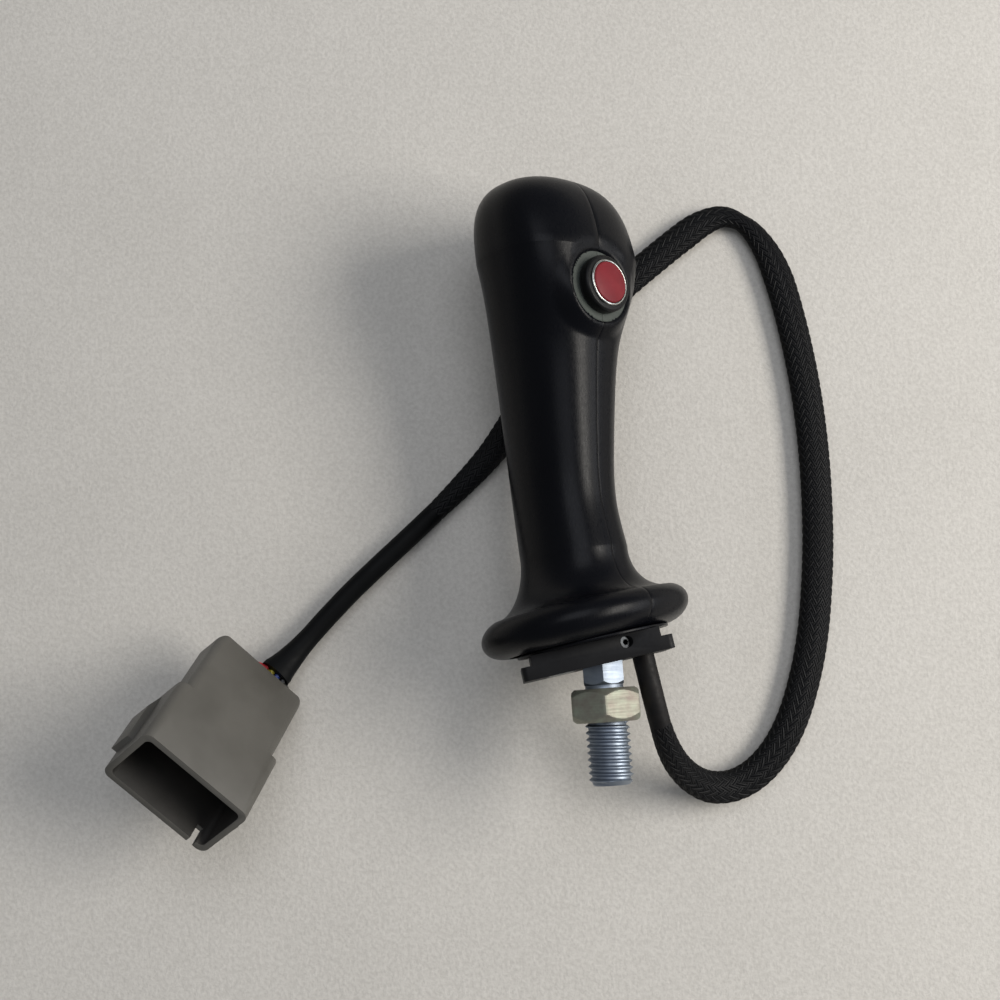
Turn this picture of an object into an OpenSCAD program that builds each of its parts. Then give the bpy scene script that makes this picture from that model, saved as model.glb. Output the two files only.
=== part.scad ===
// Industrial joystick hand grip: moulded two-shell grip with a thumb button, an M12 mounting stud
// with its lock nut, and a flying lead that ends in a sealed 12-way receptacle.
// The grip lies on its back on a bench. The stud's axis is the Y axis, the crown is at +Y,
// +Z points up from the bench, and the origin is on the axis at the lock nut's outer face.
// Handle pieces are drawn standing, with the stud along Z, and then laid down by lay().

/* [Stud and lock nut] */
// Diameter over the thread crests of the mounting stud
stud_d = 11.8; // [10:0.1:12]
// Length of free thread below the lock nut
thread_free = 16.5; // [12:0.5:30]
// Length of the chamfer at the stud's tip
tip_chamfer = 1.2; // [0.6:0.1:2]
// Width across flats of the stud's hexagonal shank
shank_af = 10.7; // [10:0.1:11]
// Length of shank that shows between the lock nut and the adapter
shank_free = 6.2; // [4:0.1:10]
// Depth to which the shank is seated in the core insert
shank_seat = 9; // [7:0.5:10]
// Width across flats of the lock nut
nut_af = 18; // [17:0.5:22]
// Height of the lock nut
nut_h = 9; // [6:0.5:12]
// Radial clearance of the lock nut on the stud
nut_fit = 0.06; // [0.02:0.01:0.1]
// Turn of the lock nut's flats about the stud
nut_turn = 26; // [0:1:59]
// Turn of the shank's flats about the stud
shank_turn = -4; // [-6:1:4]

/* [Adapter] */
// Slope of the grip's base, cover and adapter to the stud
base_slant = 9; // [4:1:12]
// Width of the adapter across its two end tabs
block_w = 40.6; // [38:0.1:42]
// Depth of the adapter from front to back
block_d = 30.6; // [29:0.1:33]
// Thickness of the end tabs
tab_t = 3.7; // [3:0.1:5]
// Height of the notch above each tab
notch_h = 2.6; // [2:0.1:3.5]
// Depth of the notch behind each tab
notch_d = 3; // [2:0.1:3]
// Corner radius of the tabs
tab_round = 1.6; // [0.8:0.1:3]
// Thread diameter of the set screw
set_screw_d = 3; // [3:0.5:4]
// Thread diameter of the screws that hold the adapter
block_screw_d = 4; // [3:0.5:4]
// Diameter of the base cover's rim
cover_d = 42; // [40:0.1:44]
// Thickness of the base cover
cover_t = 0.8; // [0.6:0.1:1.2]
// Wall of the bush that the lead passes through
bush_wall = 0.6; // [0.5:0.1:0.8]

/* [Grip shells] */
// Angle from the adapter's front to the button side of the grip
front_angle = 40; // [36:1:44]
// Height of the grip from its base to the crown
grip_h = 132.5; // [131:0.5:138]
// Wall thickness of the half shells
wall = 2.8; // [2.6:0.1:3.2]
// Side to side width of the palm flange
flange_w = 59; // [57:0.5:62]
// Front to back depth of the palm flange
flange_d = 51; // [51:0.5:54]
// Thickness of the palm flange's rim
flange_t = 11; // [10:0.5:12]
// How far the flange's rounded rim curls in underneath
flange_roll = 7; // [5:0.5:7.5]
// Distance of the flange's middle behind the stud
flange_back = 5.2; // [4:0.1:6]
// Height at which the flange's upper fillet runs out
fillet_h = 24; // [22:0.5:26]
// Height of the waist above the base
waist_h = 39; // [37:0.5:42]
// Side to side width of the waist
waist_w = 25.8; // [25:0.1:28]
// Front to back depth of the waist
waist_d = 29.8; // [29:0.1:32]
// Distance of the waist behind the stud
waist_back = 10.2; // [9:0.1:11]
// Height of the shoulder under the head
shoulder_h = 80; // [76:0.5:82]
// Side to side width of the shoulder
shoulder_w = 32.4; // [31:0.1:34]
// Front to back depth of the shoulder
shoulder_d = 34.6; // [34:0.1:36]
// Distance of the shoulder behind the stud
shoulder_back = 9; // [8:0.1:10]
// Height of the head's widest section
head_h = 107; // [105:0.5:109]
// Side to side width of the head
head_w = 44.8; // [43:0.1:47]
// Depth of the head in front of its middle
head_front = 18; // [17.6:0.1:18.4]
// Depth of the head behind its middle
head_rear = 18.4; // [17:0.1:19]
// Distance of the head's middle behind the stud
head_back = 5.3; // [5:0.1:5.6]
// Forward slope of the crown
crown_slope = 6; // [4:1:9]
// Diameter of the self-tapping screws that join the shells
shell_screw_d = 3; // [2.6:0.1:3.2]
// Diameter of the grip's core insert
core_d = 18; // [17:0.5:19]
// Height of the core insert above its foot
core_h = 8; // [7:0.5:9]
// Thickness of the core insert's foot
foot_t = 4; // [3:0.5:5]

/* [Push-button] */
// Distance of the button below the head's widest section
button_drop = 11.4; // [11:0.1:12.4]
// Distance of the button's seat in front of the stud
seat_out = 11; // [10.8:0.1:11.2]
// Diameter of the raised seat on the grip
seat_d = 20; // [19.4:0.1:21]
// Diameter of the button's collar
collar_d = 16; // [15.4:0.1:17]
// Height of the collar on its seal
collar_t = 2.8; // [2:0.1:4]
// Thickness of the seal under the collar
seal_t = 0.7; // [0.5:0.1:1]
// Diameter of the threaded barrel behind the collar
barrel_d = 14; // [13.6:0.1:14.2]
// Outer diameter of the bright bezel ring
bezel_d = 12.9; // [12.6:0.1:13.2]
// Height of the bezel on the collar
bezel_t = 0.6; // [0.4:0.1:1]
// Diameter of the coloured cap
cap_d = 11.6; // [11:0.1:11.8]
// Height of the coloured cap
cap_t = 3; // [2.6:0.1:3.4]
// Distance that the cap's face stands above the bezel
cap_proud = 0.3; // [0:0.1:1]
// Travel of the cap when it is pressed
travel = 2.5; // [1.5:0.1:2.6]
// Diameter of the plunger under the cap
plunger_d = 3.6; // [3:0.1:4]
// Width across flats of the ring nut behind the wall
ring_nut_af = 16; // [15.6:0.1:16.4]
// Thickness of the ring nut
ring_nut_t = 2; // [1.6:0.1:2.4]
// Length of the switch body behind the barrel
switch_l = 6; // [5:0.5:7]

/* [Receptacle] */
// Length of the receptacle
conn_l = 47; // [45:0.5:50]
// Height of the mouth
conn_h = 20; // [19.5:0.5:22]
// Height of the rear body, which is flush with the top of the mouth
conn_body_h = 12; // [11.6:0.1:13]
// Width of the rear body
conn_body_w = 31.2; // [31:0.1:33]
// Width of the mouth
conn_mouth_w = 35.2; // [35:0.1:37]
// Distance that the upper lip stands back from the lower one
lip_back = 2.6; // [1:0.1:3]
// Wall of the mouth
conn_wall = 1.7; // [1.4:0.1:2]
// Depth of the mouth
mouth_depth = 22; // [20:0.5:24]
// Distance that the side ears stand out
ear_out = 1.7; // [1.2:0.1:2.2]
// Length of the side ears
ear_l = 17; // [14:0.5:18]
// Height of the side ears
ear_h = 8; // [7:0.5:10]
// Columns of contacts
pin_cols = 6; // [4:1:6]
// Distance between contacts
pin_pitch = 4.2; // [4:0.1:4.2]
// Diameter of a contact pin
pin_d = 1.5; // [1.2:0.1:1.8]
// Length of a contact pin inside the mouth
pin_l = 9; // [6:0.5:12]

/* [Hidden] */

$fn = 48;
EPS = 0.01;
gap = 0.15;              // clearance of pieces that drop into a seat
button_h = head_h - button_drop;
base_z = nut_h + shank_free + (cover_t + notch_h + tab_t) / cos(base_slant);
black = "#17191b";
charcoal = "#2e2d2e";
zinc = "#a9b2b6";

// ---------- placing ----------
// Lays the standing handle on its back.
module lay() rotate([-90, 0, 0]) children();
// The slanted base plane: Z is square to the cover, which it meets at 0.
module at_base() translate([0, 0, base_z]) rotate([0, -base_slant, 0]) children();
// The button's axis: Z points out of the grip, at the distance from the stud's axis.
module at_button() translate([0, 0, base_z + button_h]) rotate([0, 0, front_angle - 90])
    rotate([0, 90, 0]) children();
// The hidden shell's side: Z points sideways out of the parting plane.
module at_side(h, f) translate([0, 0, base_z + h]) rotate([0, 0, front_angle])
    rotate([90, 0, 90]) translate([-f, 0, 0]) children();

// ---------- grip sections ----------
// A section is [height, back, half width, half front, half rear, squareness, slant, slope]:
// a superellipse whose middle lies "back" behind the stud's axis. Slant tilts it sideways
// with the base, slope lowers its front with the crown.
function mix(a, b, t) = a + (b - a) * t;
function spline(a, b, c, d, t) = 0.5 * (2 * b + (c - a) * t + (2 * a - 5 * b + 4 * c - d) * t * t
    + (3 * b - a - 3 * c + d) * t * t * t);

// Upper part of the grip as control sections, from the flange's fillet to the widest head.
fillet_sec = [fillet_h, mix(waist_back, flange_back, 0.45), waist_w / 2 + 0.5, waist_d / 2 + 0.4,
              waist_d / 2 + 0.4, 2.25, base_slant / 2, 0];
waist_sec = [waist_h, waist_back, waist_w / 2, waist_d / 2, waist_d / 2, 2.3, 0, 0];
shoulder_sec = [shoulder_h, shoulder_back, shoulder_w / 2, shoulder_d / 2, shoulder_d / 2, 2.4, 0, 0];
button_sec = [button_h + 1, head_back + 0.6, head_w / 2 - 2, head_front - 0.2, head_rear - 0.6, 2.7,
              0, crown_slope / 3];
head_sec = [head_h, head_back, head_w / 2, head_front, head_rear, 2.9, 0, crown_slope * 0.6];
controls = [fillet_sec, waist_sec, mix(waist_sec, shoulder_sec, 0.42) + [0, 0.5, -0.4, -0.3, -0.3, 0, 0, 0],
            shoulder_sec, button_sec, head_sec];

rim_steps = 5;
fillet_steps = 5;
span_steps = 4;
dome_steps = 8;
ring_steps = 16;

// Flange: a rounded rim that rolls in below, then a concave fillet up to the grip.
flange_secs = [for (i = [0:rim_steps]) let (a = -90 + 150 * i / rim_steps, in = flange_roll * (1 - cos(a)))
    [flange_t / 2 * (1 + sin(a)), flange_back, flange_w / 2 - in, flange_d / 2 - in, flange_d / 2 - in,
     2.2, base_slant, 0]];
rim_top = flange_secs[rim_steps];
fillet_secs = [for (i = [1:fillet_steps - 1]) let (a = 90 * i / fillet_steps)
    [for (k = [0:7]) k == 0 || k >= 6 ? mix(rim_top[k], fillet_sec[k], 1 - cos(a))
                                      : mix(rim_top[k], fillet_sec[k], sin(a))]];
last = len(controls) - 1;
body_secs = [for (i = [0:last - 1], j = [0:span_steps - 1])
    spline(controls[max(i - 1, 0)], controls[i], controls[i + 1], controls[min(i + 2, last)],
           j / span_steps)];
// Crown: a dome on the widest section, of the power that gives flat sides and a soft top.
dome_power = 2.9;
function dome(top) = [for (i = [0:dome_steps]) let (a = 88 * i / dome_steps,
        c = pow(cos(a), 2 / dome_power), s = pow(sin(a), 2 / dome_power))
    [mix(head_h, top, s), head_back + 3.5 * s, head_w / 2 * c, head_front * c, head_rear * c, 2.9 - 0.6 * s,
     0, mix(0.6, 1, s) * crown_slope]];

function thinner(s, t) = [s[0], s[1], max(s[2] - t, 0.4), max(s[3] - t, 0.4), max(s[4] - t, 0.4),
                          s[5], s[6], s[7]];
// The cavity is never wider than the opening that the insert's foot drops into.
open_r = 18.7;
function capped(s) = [s[0], s[1], min(s[2], open_r), min(s[3], open_r), min(s[4], open_r),
                      s[5], s[6], s[7]];
outer_secs = concat(flange_secs, fillet_secs, body_secs, dome(grip_h));
inner_secs = concat([for (s = concat(flange_secs, fillet_secs)) capped(thinner(s, wall))],
                    [for (s = body_secs) thinner(s, wall)],
                    [for (s = dome(grip_h - wall)) thinner(s, wall * (1 - 0.9 * (s[0] - head_h)
                                                               / (grip_h - wall - head_h)))]);

// One half ring of a section, from its rear to its front, on side +1 or -1 of the parting plane.
function half_ring(s, side) = [for (j = [0:ring_steps])
    let (a = -90 + 180 * j / ring_steps,
         l = side * s[2] * pow(abs(cos(a)), 2 / s[5]) * (j == 0 || j == ring_steps ? 0 : 1),
         f0 = (a < 0 ? -s[4] : s[3]) * pow(abs(sin(a)), 2 / s[5]),
         f = f0 - s[1],
         x = l * cos(front_angle) + f * sin(front_angle),
         y = l * sin(front_angle) - f * cos(front_angle))
    [x, y, base_z + s[0] + x * tan(s[6]) - f0 * tan(s[7])]];

// One C-shaped half shell: outer skin, inner skin, and the flat faces between them.
module half_shell(side) {
    m = len(outer_secs);
    k = len(inner_secs);
    w = ring_steps + 1;
    points = concat([for (s = outer_secs) each half_ring(s, side)],
                    [for (s = inner_secs) each half_ring(s, side)]);
    skin = [for (i = [0:m - 2], j = [0:w - 2]) each let (p = i * w + j)
        [[p, p + 1, p + w], [p + 1, p + w + 1, p + w]]];
    lining = [for (i = [0:k - 2], j = [0:w - 2]) each let (p = (m + i) * w + j)
        [[p, p + w, p + 1], [p + 1, p + w, p + w + 1]]];
    crown = [[for (j = [0:w - 1]) (m - 1) * w + j], [for (j = [w - 1:-1:0]) (m + k - 1) * w + j]];
    base = [concat([for (j = [w - 1:-1:0]) j], [for (j = [0:w - 1]) m * w + j])];
    joint = [concat([for (i = [0:m - 1]) i * w + w - 1], [for (i = [m - 1:-1:0]) i * w],
                    [for (i = [m:m + k - 1]) i * w], [for (i = [m + k - 1:-1:m]) i * w + w - 1])];
    faces = concat(skin, lining, crown, base, [for (f = joint) [for (i = [len(f) - 1:-1:0]) f[i]]]);
    polyhedron(points, side < 0 ? [for (f = faces) [for (i = [len(f) - 1:-1:0]) f[i]]] : faces,
               convexity = 8);
}

// ---------- grip shells ----------
shell_screw_r = shell_screw_d / 2;
boss_r = shell_screw_r + 2.6;
screw_head_r = shell_screw_d * 0.93;
screw_reach = 7;         // from the parting plane to the end of each screw
screw_seat = 5;          // from the parting plane to the underside of each head
// Each screw's height above the base, place in front of the stud, and the reach of its boss.
screw_at = [[fillet_h + 6, -15, waist_w / 2 - 2.7], [shoulder_h - 6, -15, shoulder_w / 2 - 3.4],
            [mix(head_h, grip_h, 0.49), -12, head_w / 2 - 5.6]];
wall_seat = 1.7;         // wall that is left under the button's seat
bore_fit = 0.15;
barrel_r = barrel_d / 2;
ring_nut_r = ring_nut_af / 2 / cos(30);

// A screw boss with draft, and a gusset rib above and below it.
module bosses(side, hole_r) for (p = screw_at) at_side(p[0], p[1])
    mirror([0, 0, side > 0 ? 0 : 1]) difference() {
        union() {
            hull() {
                translate([0, 0, gap / 2]) cylinder(r = boss_r, h = 1, $fn = 32);
                translate([0, 0, p[2] - 1]) cylinder(r = boss_r + 0.3, h = 1, $fn = 32);
            }
            for (up = [-1, 1]) hull() {
                translate([-0.6, min(0, up), 4]) cube([1.2, 1, 1]);
                translate([-0.6, min(0, up * (boss_r + 2)), p[2] - 2.5]) cube([1.2, boss_r + 2, 1]);
            }
        }
        translate([0, 0, -EPS]) cylinder(r = hole_r, h = screw_reach + 1);
    }

// The raised round seat, its flat face, the flat behind the wall and the bore of the barrel.
module seat_pad(side) intersection() {
    at_button() translate([0, 0, seat_out - 4]) cylinder(d = seat_d, h = 4);
    rotate([0, 0, front_angle]) translate([side > 0 ? 2 * EPS : -seat_d - 2 * EPS, -seat_d * 2, base_z + button_h - seat_d])
        cube([seat_d, seat_d * 2, seat_d * 2]);
}
module seat_cuts() at_button() {
    translate([0, 0, seat_out]) cylinder(d = seat_d, h = seat_d / 2);
    translate([0, 0, seat_out - wall_seat - 8]) cylinder(r = ring_nut_r + gap, h = 8);
    cylinder(r = barrel_r + bore_fit, h = seat_out + seat_d / 4);
}

module grip_shell_left() color(black) lay() difference() {
    union() {
        half_shell(-1);
        bosses(-1, shell_screw_r + 0.05);
        seat_pad(-1);
    }
    seat_cuts();
}

module grip_shell_right() color(black) lay() difference() {
    union() {
        half_shell(1);
        bosses(1, shell_screw_r + 0.25);
        seat_pad(1);
    }
    seat_cuts();
    for (p = screw_at) at_side(p[0], p[1]) {
        translate([0, 0, -EPS]) cylinder(r = shell_screw_r + 0.25, h = screw_seat + 1);
        translate([0, 0, screw_seat]) cylinder(r = screw_head_r + 0.3, h = head_w);
    }
}

module shell_screws() color(zinc) lay() for (p = screw_at) at_side(p[0], p[1]) difference() {
    union() {
        translate([0, 0, -screw_reach]) cylinder(r = shell_screw_r, h = screw_reach + screw_seat + EPS);
        translate([0, 0, screw_seat]) cylinder(r = screw_head_r, h = shell_screw_d * 0.7);
    }
    translate([0, 0, screw_seat + shell_screw_d * 0.3]) cylinder(r = shell_screw_r * 0.7, h = 3, $fn = 6);
}

// ---------- adapter, insert and stud ----------
cover_mid = [-2, 3.8];
block_mid = [-2.5, 3.8];
foot_low = flange_secs[1][0] + gap;         // the foot stands just over the flange's inner lip
foot_mid = [(foot_t * sin(base_slant) * 0.6 - flange_back * sin(front_angle)) / cos(base_slant),
            flange_back * cos(front_angle)];
lead_at = [10.4, 3];                        // where the lead passes through the base
lead_core_d = 4.4;
bush_r = lead_core_d / 2 + 0.05 + bush_wall;
shank_r = shank_af / 2 / cos(30);
block_bottom = -cover_t - notch_h - tab_t;
block_screw_r = block_screw_d / 2;
block_screw_at = [[-12.4, -3.2], [-12.4, 11.2], [7.6, 14.2]];
stud_top = base_z + foot_t + shank_seat - 2;
nut_bite = 0.55;         // the nut runs on the thread's pitch diameter, inside its crests

module stud_hole(fit) translate([0, 0, nut_h]) cylinder(r = shank_r + fit, h = 60);
module at_block_screws() at_base() for (p = block_screw_at) translate([p[0], p[1], 0]) children();
module at_lead() at_base() translate([lead_at[0], lead_at[1], 0]) children();

module core_insert() color("#8a8f93") lay() difference() {
    union() {
        at_base() translate([foot_mid[0], foot_mid[1], foot_low]) cylinder(r = open_r - 0.4, h = foot_t - foot_low);
        translate([0, 0, base_z]) cylinder(d = core_d, h = foot_t + core_h);
    }
    at_base() translate([-60, -60, -40]) cube([120, 120, 40 + gap / 10]);
    translate([0, 0, base_z - 10]) rotate(30 + shank_turn) cylinder(r = shank_r + 0.05 / cos(30), h = stud_top + 10
        - base_z + 0.3, $fn = 6);
    at_lead() translate([0, 0, -5]) cylinder(r = bush_r + 0.05, h = foot_t + 8);
    translate([lead_at[0] - 1.1, lead_at[1] + 0.4, base_z + foot_t]) cylinder(r = bush_r + 0.3, h = core_h + 1);
    at_block_screws() translate([0, 0, -1]) cylinder(r = block_screw_r + 0.05, h = foot_t + 2);
}

module base_cover() color(black) lay() difference() {
    at_base() translate([cover_mid[0], cover_mid[1], -cover_t]) cylinder(d = cover_d, h = cover_t);
    stud_hole(0.4);
    at_lead() translate([0, 0, -2 * cover_t]) cylinder(r = bush_r + 0.05, h = 3 * cover_t);
    at_block_screws() translate([0, 0, -2]) cylinder(r = block_screw_r + 0.2, h = 4);
}

// Outline of the tabs: a rectangle with rounded corners.
module tab_outline() {
    r = tab_round;
    w = block_w / 2 - r;
    d = block_d / 2 - r;
    translate(block_mid) union() {
        square([block_w, 2 * d], center = true);
        square([2 * w, block_d], center = true);
        for (x = [-w, w], y = [-d, d]) translate([x, y]) circle(r);
    }
}
// The set screw stands square to the shank's front right flat, through the adapter's face.
module at_set_screw() at_base() translate([0, 0, -cover_t - notch_h / 2 - 0.8]) rotate([90, 0, 30 + shank_turn])
    children();

set_screw_r = set_screw_d / 2;
set_screw_l = 4.5;

module adapter_block() color(charcoal) lay() difference() {
    at_base() {
        translate([0, 0, block_bottom]) linear_extrude(tab_t) tab_outline();
        translate([block_mid[0] - block_w / 2 + notch_d, block_mid[1] - block_d / 2, block_bottom])
            cube([block_w - 2 * notch_d, block_d, tab_t + notch_h]);
    }
    stud_hole(0.2);
    at_lead() translate([0, 0, block_bottom - 1]) cylinder(r = bush_r + 0.05, h = 2 - block_bottom);
    at_block_screws() translate([0, 0, block_bottom - EPS]) {
        cylinder(r = block_screw_r + 0.2, h = 1 - block_bottom);
        cylinder(r1 = block_screw_d + 0.1, r2 = block_screw_r, h = block_screw_r + 0.1);
    }
    at_set_screw() cylinder(r = set_screw_r + 0.05, h = block_d);
}

module block_screws() color(zinc) lay() at_block_screws() translate([0, 0, block_bottom]) difference() {
    union() {
        cylinder(r = block_screw_r, h = foot_t - block_bottom - 0.5);
        cylinder(r1 = block_screw_d, r2 = block_screw_r, h = block_screw_r);
    }
    translate([0, 0, -EPS]) cylinder(r = block_screw_r * 0.6, h = 1.6, $fn = 6);
}

module set_screw() color("#6d7073") lay() at_set_screw()
    translate([0, 0, shank_af / 2 + 0.05]) difference() {
        cylinder(r = set_screw_r, h = set_screw_l);
        translate([0, 0, set_screw_l - 1.8]) cylinder(r = set_screw_r * 0.58, h = 2, $fn = 6);
    }

// Thread, neck and chamfered hexagonal shank in one piece.
module stud() color(zinc) lay() {
    r = stud_d / 2;
    neck = 0.8;
    translate([0, 0, -thread_free + tip_chamfer]) cylinder(r = r, h = thread_free - tip_chamfer);
    translate([0, 0, -EPS]) cylinder(r = r - nut_bite, h = nut_h + 2 * EPS);
    translate([0, 0, -thread_free]) cylinder(r1 = r - tip_chamfer, r2 = r, h = tip_chamfer);
    translate([0, 0, nut_h]) cylinder(r = r - neck, h = neck + EPS);
    translate([0, 0, nut_h + neck]) intersection() {
        rotate(30 + shank_turn) cylinder(r = shank_r, h = stud_top - nut_h - neck, $fn = 6);
        union() {
            cylinder(r1 = shank_af / 2 - 0.2, r2 = shank_r + 0.2, h = shank_r - shank_af / 2 + 0.4);
            translate([0, 0, shank_r - shank_af / 2 + 0.4 - EPS]) cylinder(r = shank_r + 1, h = stud_top);
        }
    }
}

module lock_nut() color("#b9bcae") lay() difference() {
    across = nut_af / 2;
    corner = across / cos(30);
    face_r = across * 0.965;                // the bevels leave a round face a little inside the flats
    over = corner + 0.2;
    bevel = (over - face_r) * tan(30);
    intersection() {
        rotate(nut_turn) cylinder(r = corner, h = nut_h - gap, $fn = 6);
        union() {
            cylinder(r1 = face_r, r2 = over, h = bevel);
            translate([0, 0, bevel - EPS]) cylinder(r = over, h = nut_h - gap - 2 * bevel + 2 * EPS);
            translate([0, 0, nut_h - gap - bevel]) cylinder(r1 = over, r2 = face_r, h = bevel);
        }
    }
    translate([0, 0, -1]) cylinder(r = stud_d / 2 - nut_bite + nut_fit, h = nut_h + 2);
}

module cable_bush() color(black) lay() at_lead() translate([0, 0, block_bottom]) difference() {
    cylinder(r = bush_r, h = foot_t - block_bottom);
    translate([0, 0, -1]) cylinder(d = lead_core_d + 0.1, h = foot_t - block_bottom + 2);
}

// ---------- push-button ----------
collar_base = seat_out + seal_t;
bezel_base = collar_base + collar_t;
face_out = bezel_base + bezel_t + cap_proud;
cap_r = cap_d / 2;
slide_fit = 0.1;
spring_room = travel + 1.5;                 // free length of the return spring
floor_top = face_out - cap_t - spring_room;
barrel_end = floor_top - 1.9;
plunger_r = plunger_d / 2;
plunger_end = barrel_end + gap;
spring_wire = 0.5;
spring_r = plunger_r + 1.4;
spring_turns = 2.5;
switch_w = 9.6;
switch_rear = barrel_end - switch_l;
blade = [0.8, 2.8, 5];

module ring(outer, inner, height) difference() {
    cylinder(r = outer, h = height);
    translate([0, 0, -1]) cylinder(r = inner, h = height + 2);
}

module button_housing() color(black) lay() at_button() difference() {
    bevel = 0.5;
    union() {
        translate([0, 0, barrel_end]) cylinder(r = barrel_r, h = collar_base - barrel_end + EPS);
        translate([0, 0, collar_base]) cylinder(d = collar_d, h = collar_t - bevel);
        translate([0, 0, bezel_base - bevel]) cylinder(r1 = collar_d / 2, r2 = collar_d / 2 - bevel, h = bevel);
    }
    translate([0, 0, floor_top]) cylinder(r = cap_r + slide_fit, h = 20);
    translate([0, 0, barrel_end - 1]) cylinder(r = plunger_r + slide_fit, h = 20);
}

module button_seal() color("#101112") lay() at_button() translate([0, 0, seat_out])
    ring(collar_d / 2 - 0.3, barrel_r + 0.05, seal_t);

module button_bezel() color("#e6e8ea") lay() at_button() translate([0, 0, bezel_base])
    rotate_extrude() polygon([[cap_r + slide_fit, 0], [bezel_d / 2, 0], [bezel_d / 2, bezel_t * 0.6],
        [bezel_d / 2 - 0.2, bezel_t], [cap_r + slide_fit, bezel_t]]);

module ring_nut() color("#7d8184") lay() at_button()
    translate([0, 0, seat_out - wall_seat - gap / 5 - ring_nut_t]) difference() {
        cylinder(r = ring_nut_r, h = ring_nut_t, $fn = 6);
        translate([0, 0, -1]) cylinder(r = barrel_r + 0.05, h = ring_nut_t + 2);
    }

// The cap is a cup with a softly broken edge; its recess locates the plunger.
module button_cap() color("#862a32") lay() at_button() translate([0, 0, face_out - cap_t])
    rotate_extrude() polygon([[plunger_r, 0], [cap_r, 0], [cap_r, cap_t - 0.5], [cap_r - 0.15, cap_t - 0.15],
        [cap_r - 0.5, cap_t], [0, cap_t], [0, cap_t - 1.2], [plunger_r, cap_t - 1.2]]);

module button_plunger() color("#d8d8d2") lay() at_button() translate([0, 0, plunger_end])
    cylinder(r = plunger_r, h = face_out - 1.2 - plunger_end);

module switch_body() color("#26282a") lay() at_button() translate([0, 0, switch_rear]) difference() {
    intersection() {
        translate([-switch_w / 2, -switch_w / 2, 0]) cube([switch_w, switch_w, switch_l]);
        cylinder(r = barrel_r - 1, h = switch_l);
    }
    translate([0, 0, plunger_end - travel - 0.5 - switch_rear]) cylinder(r = plunger_r + 0.3, h = switch_l);
}

module switch_terminals() color("#c9a44a") lay() at_button() for (x = [-2.2, 2.2])
    translate([x - blade[0] / 2, -blade[1] / 2, switch_rear - blade[2]]) difference() {
        cube(blade);
        translate([-1, blade[1] / 2, 1.4]) rotate([0, 90, 0]) cylinder(r = 0.6, h = 3);
    }

// ---------- swept tubes ----------
function unit(v) = v / norm(v);
// Direction at point i of a route.
function along(p, i) = unit(p[min(i + 1, len(p) - 1)] - p[max(i - 1, 0)]);
// Ring of n corners about point c, square to direction d, width w and thickness t.
function hoop(c, d, up, w, t, n) = let (s = unit(cross(d, up)), u = cross(s, d))
    [for (k = [0:n - 1]) c + s * cos(360 * (k + 0.5) / n) * w / 2 + u * sin(360 * (k + 0.5) / n) * t / 2];

// Tube through the route's points from a to b; size(i) gives its width and thickness.
module tube(route, a, b, sizes, up = [0, 0, 1], n = 10) {
    m = b - a + 1;
    points = [for (i = [a:b]) each hoop(route[i], along(route, i), up, sizes[i - a][0], sizes[i - a][1], n)];
    polyhedron(points, concat(
        [[for (k = [n - 1:-1:0]) k]],
        [for (i = [0:m - 2], k = [0:n - 1]) each let (p = i * n + k, q = i * n + (k + 1) % n)
            [[p, q, p + n], [q, q + n, p + n]]],
        [[for (k = [0:n - 1]) (m - 1) * n + k]]), convexity = 10);
}

function helix(r, height, turns, steps) = [for (i = [0:turns * steps])
    [r * cos(360 * i / steps), r * sin(360 * i / steps), height * i / (turns * steps)]];

module return_spring() color("#c4c8ca") lay() at_button() {
    rise = spring_room - spring_wire - 0.1;
    path = helix(spring_r, rise, spring_turns, 14);
    last_i = len(path) - 1;
    translate([0, 0, floor_top + spring_wire / 2 + 0.05])
        tube(path, 0, last_i, [for (p = path) [spring_wire, spring_wire]], n = 6);
}

// ---------- leads ----------
rest = flange_back * cos(front_angle)
    + pow(pow(flange_w / 2 * sin(front_angle), 11 / 6) + pow(flange_d / 2 * cos(front_angle), 11 / 6), 6 / 11);
bench = -rest;           // the surface that the grip's flange rests on

// The base's lead hole in the lying frame, at distance w along the base's normal.
function lead_point(w) = let (s = base_slant, u = lead_at[0])
    [u * cos(s) - w * sin(s), base_z + u * sin(s) + w * cos(s), -lead_at[1]];
lead_exit = lead_point(block_bottom);

// Inner lead: up from the bush, past the insert and the screw bosses to the switch.
inner_route = concat([for (w = [block_bottom, 0, foot_t + 1]) lead_point(w)],
    [[8.8, 34, -3.4], [6.2, 39.5, -3.6], [1.6, 45.5, -4], [-3, 53.5, -5.8], [-5, 63, -6.2], [-5, 75, -6.2],
     [-4.4, 87, -5.4], [-3.4, 98, -4.2], [-2.6, 107, -3], [-1.9, 114.4, -2.2]]);
module inner_cable() color(black) tube(inner_route, 0, len(inner_route) - 1,
    [for (p = inner_route) [lead_core_d, lead_core_d]], n = 8);

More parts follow.
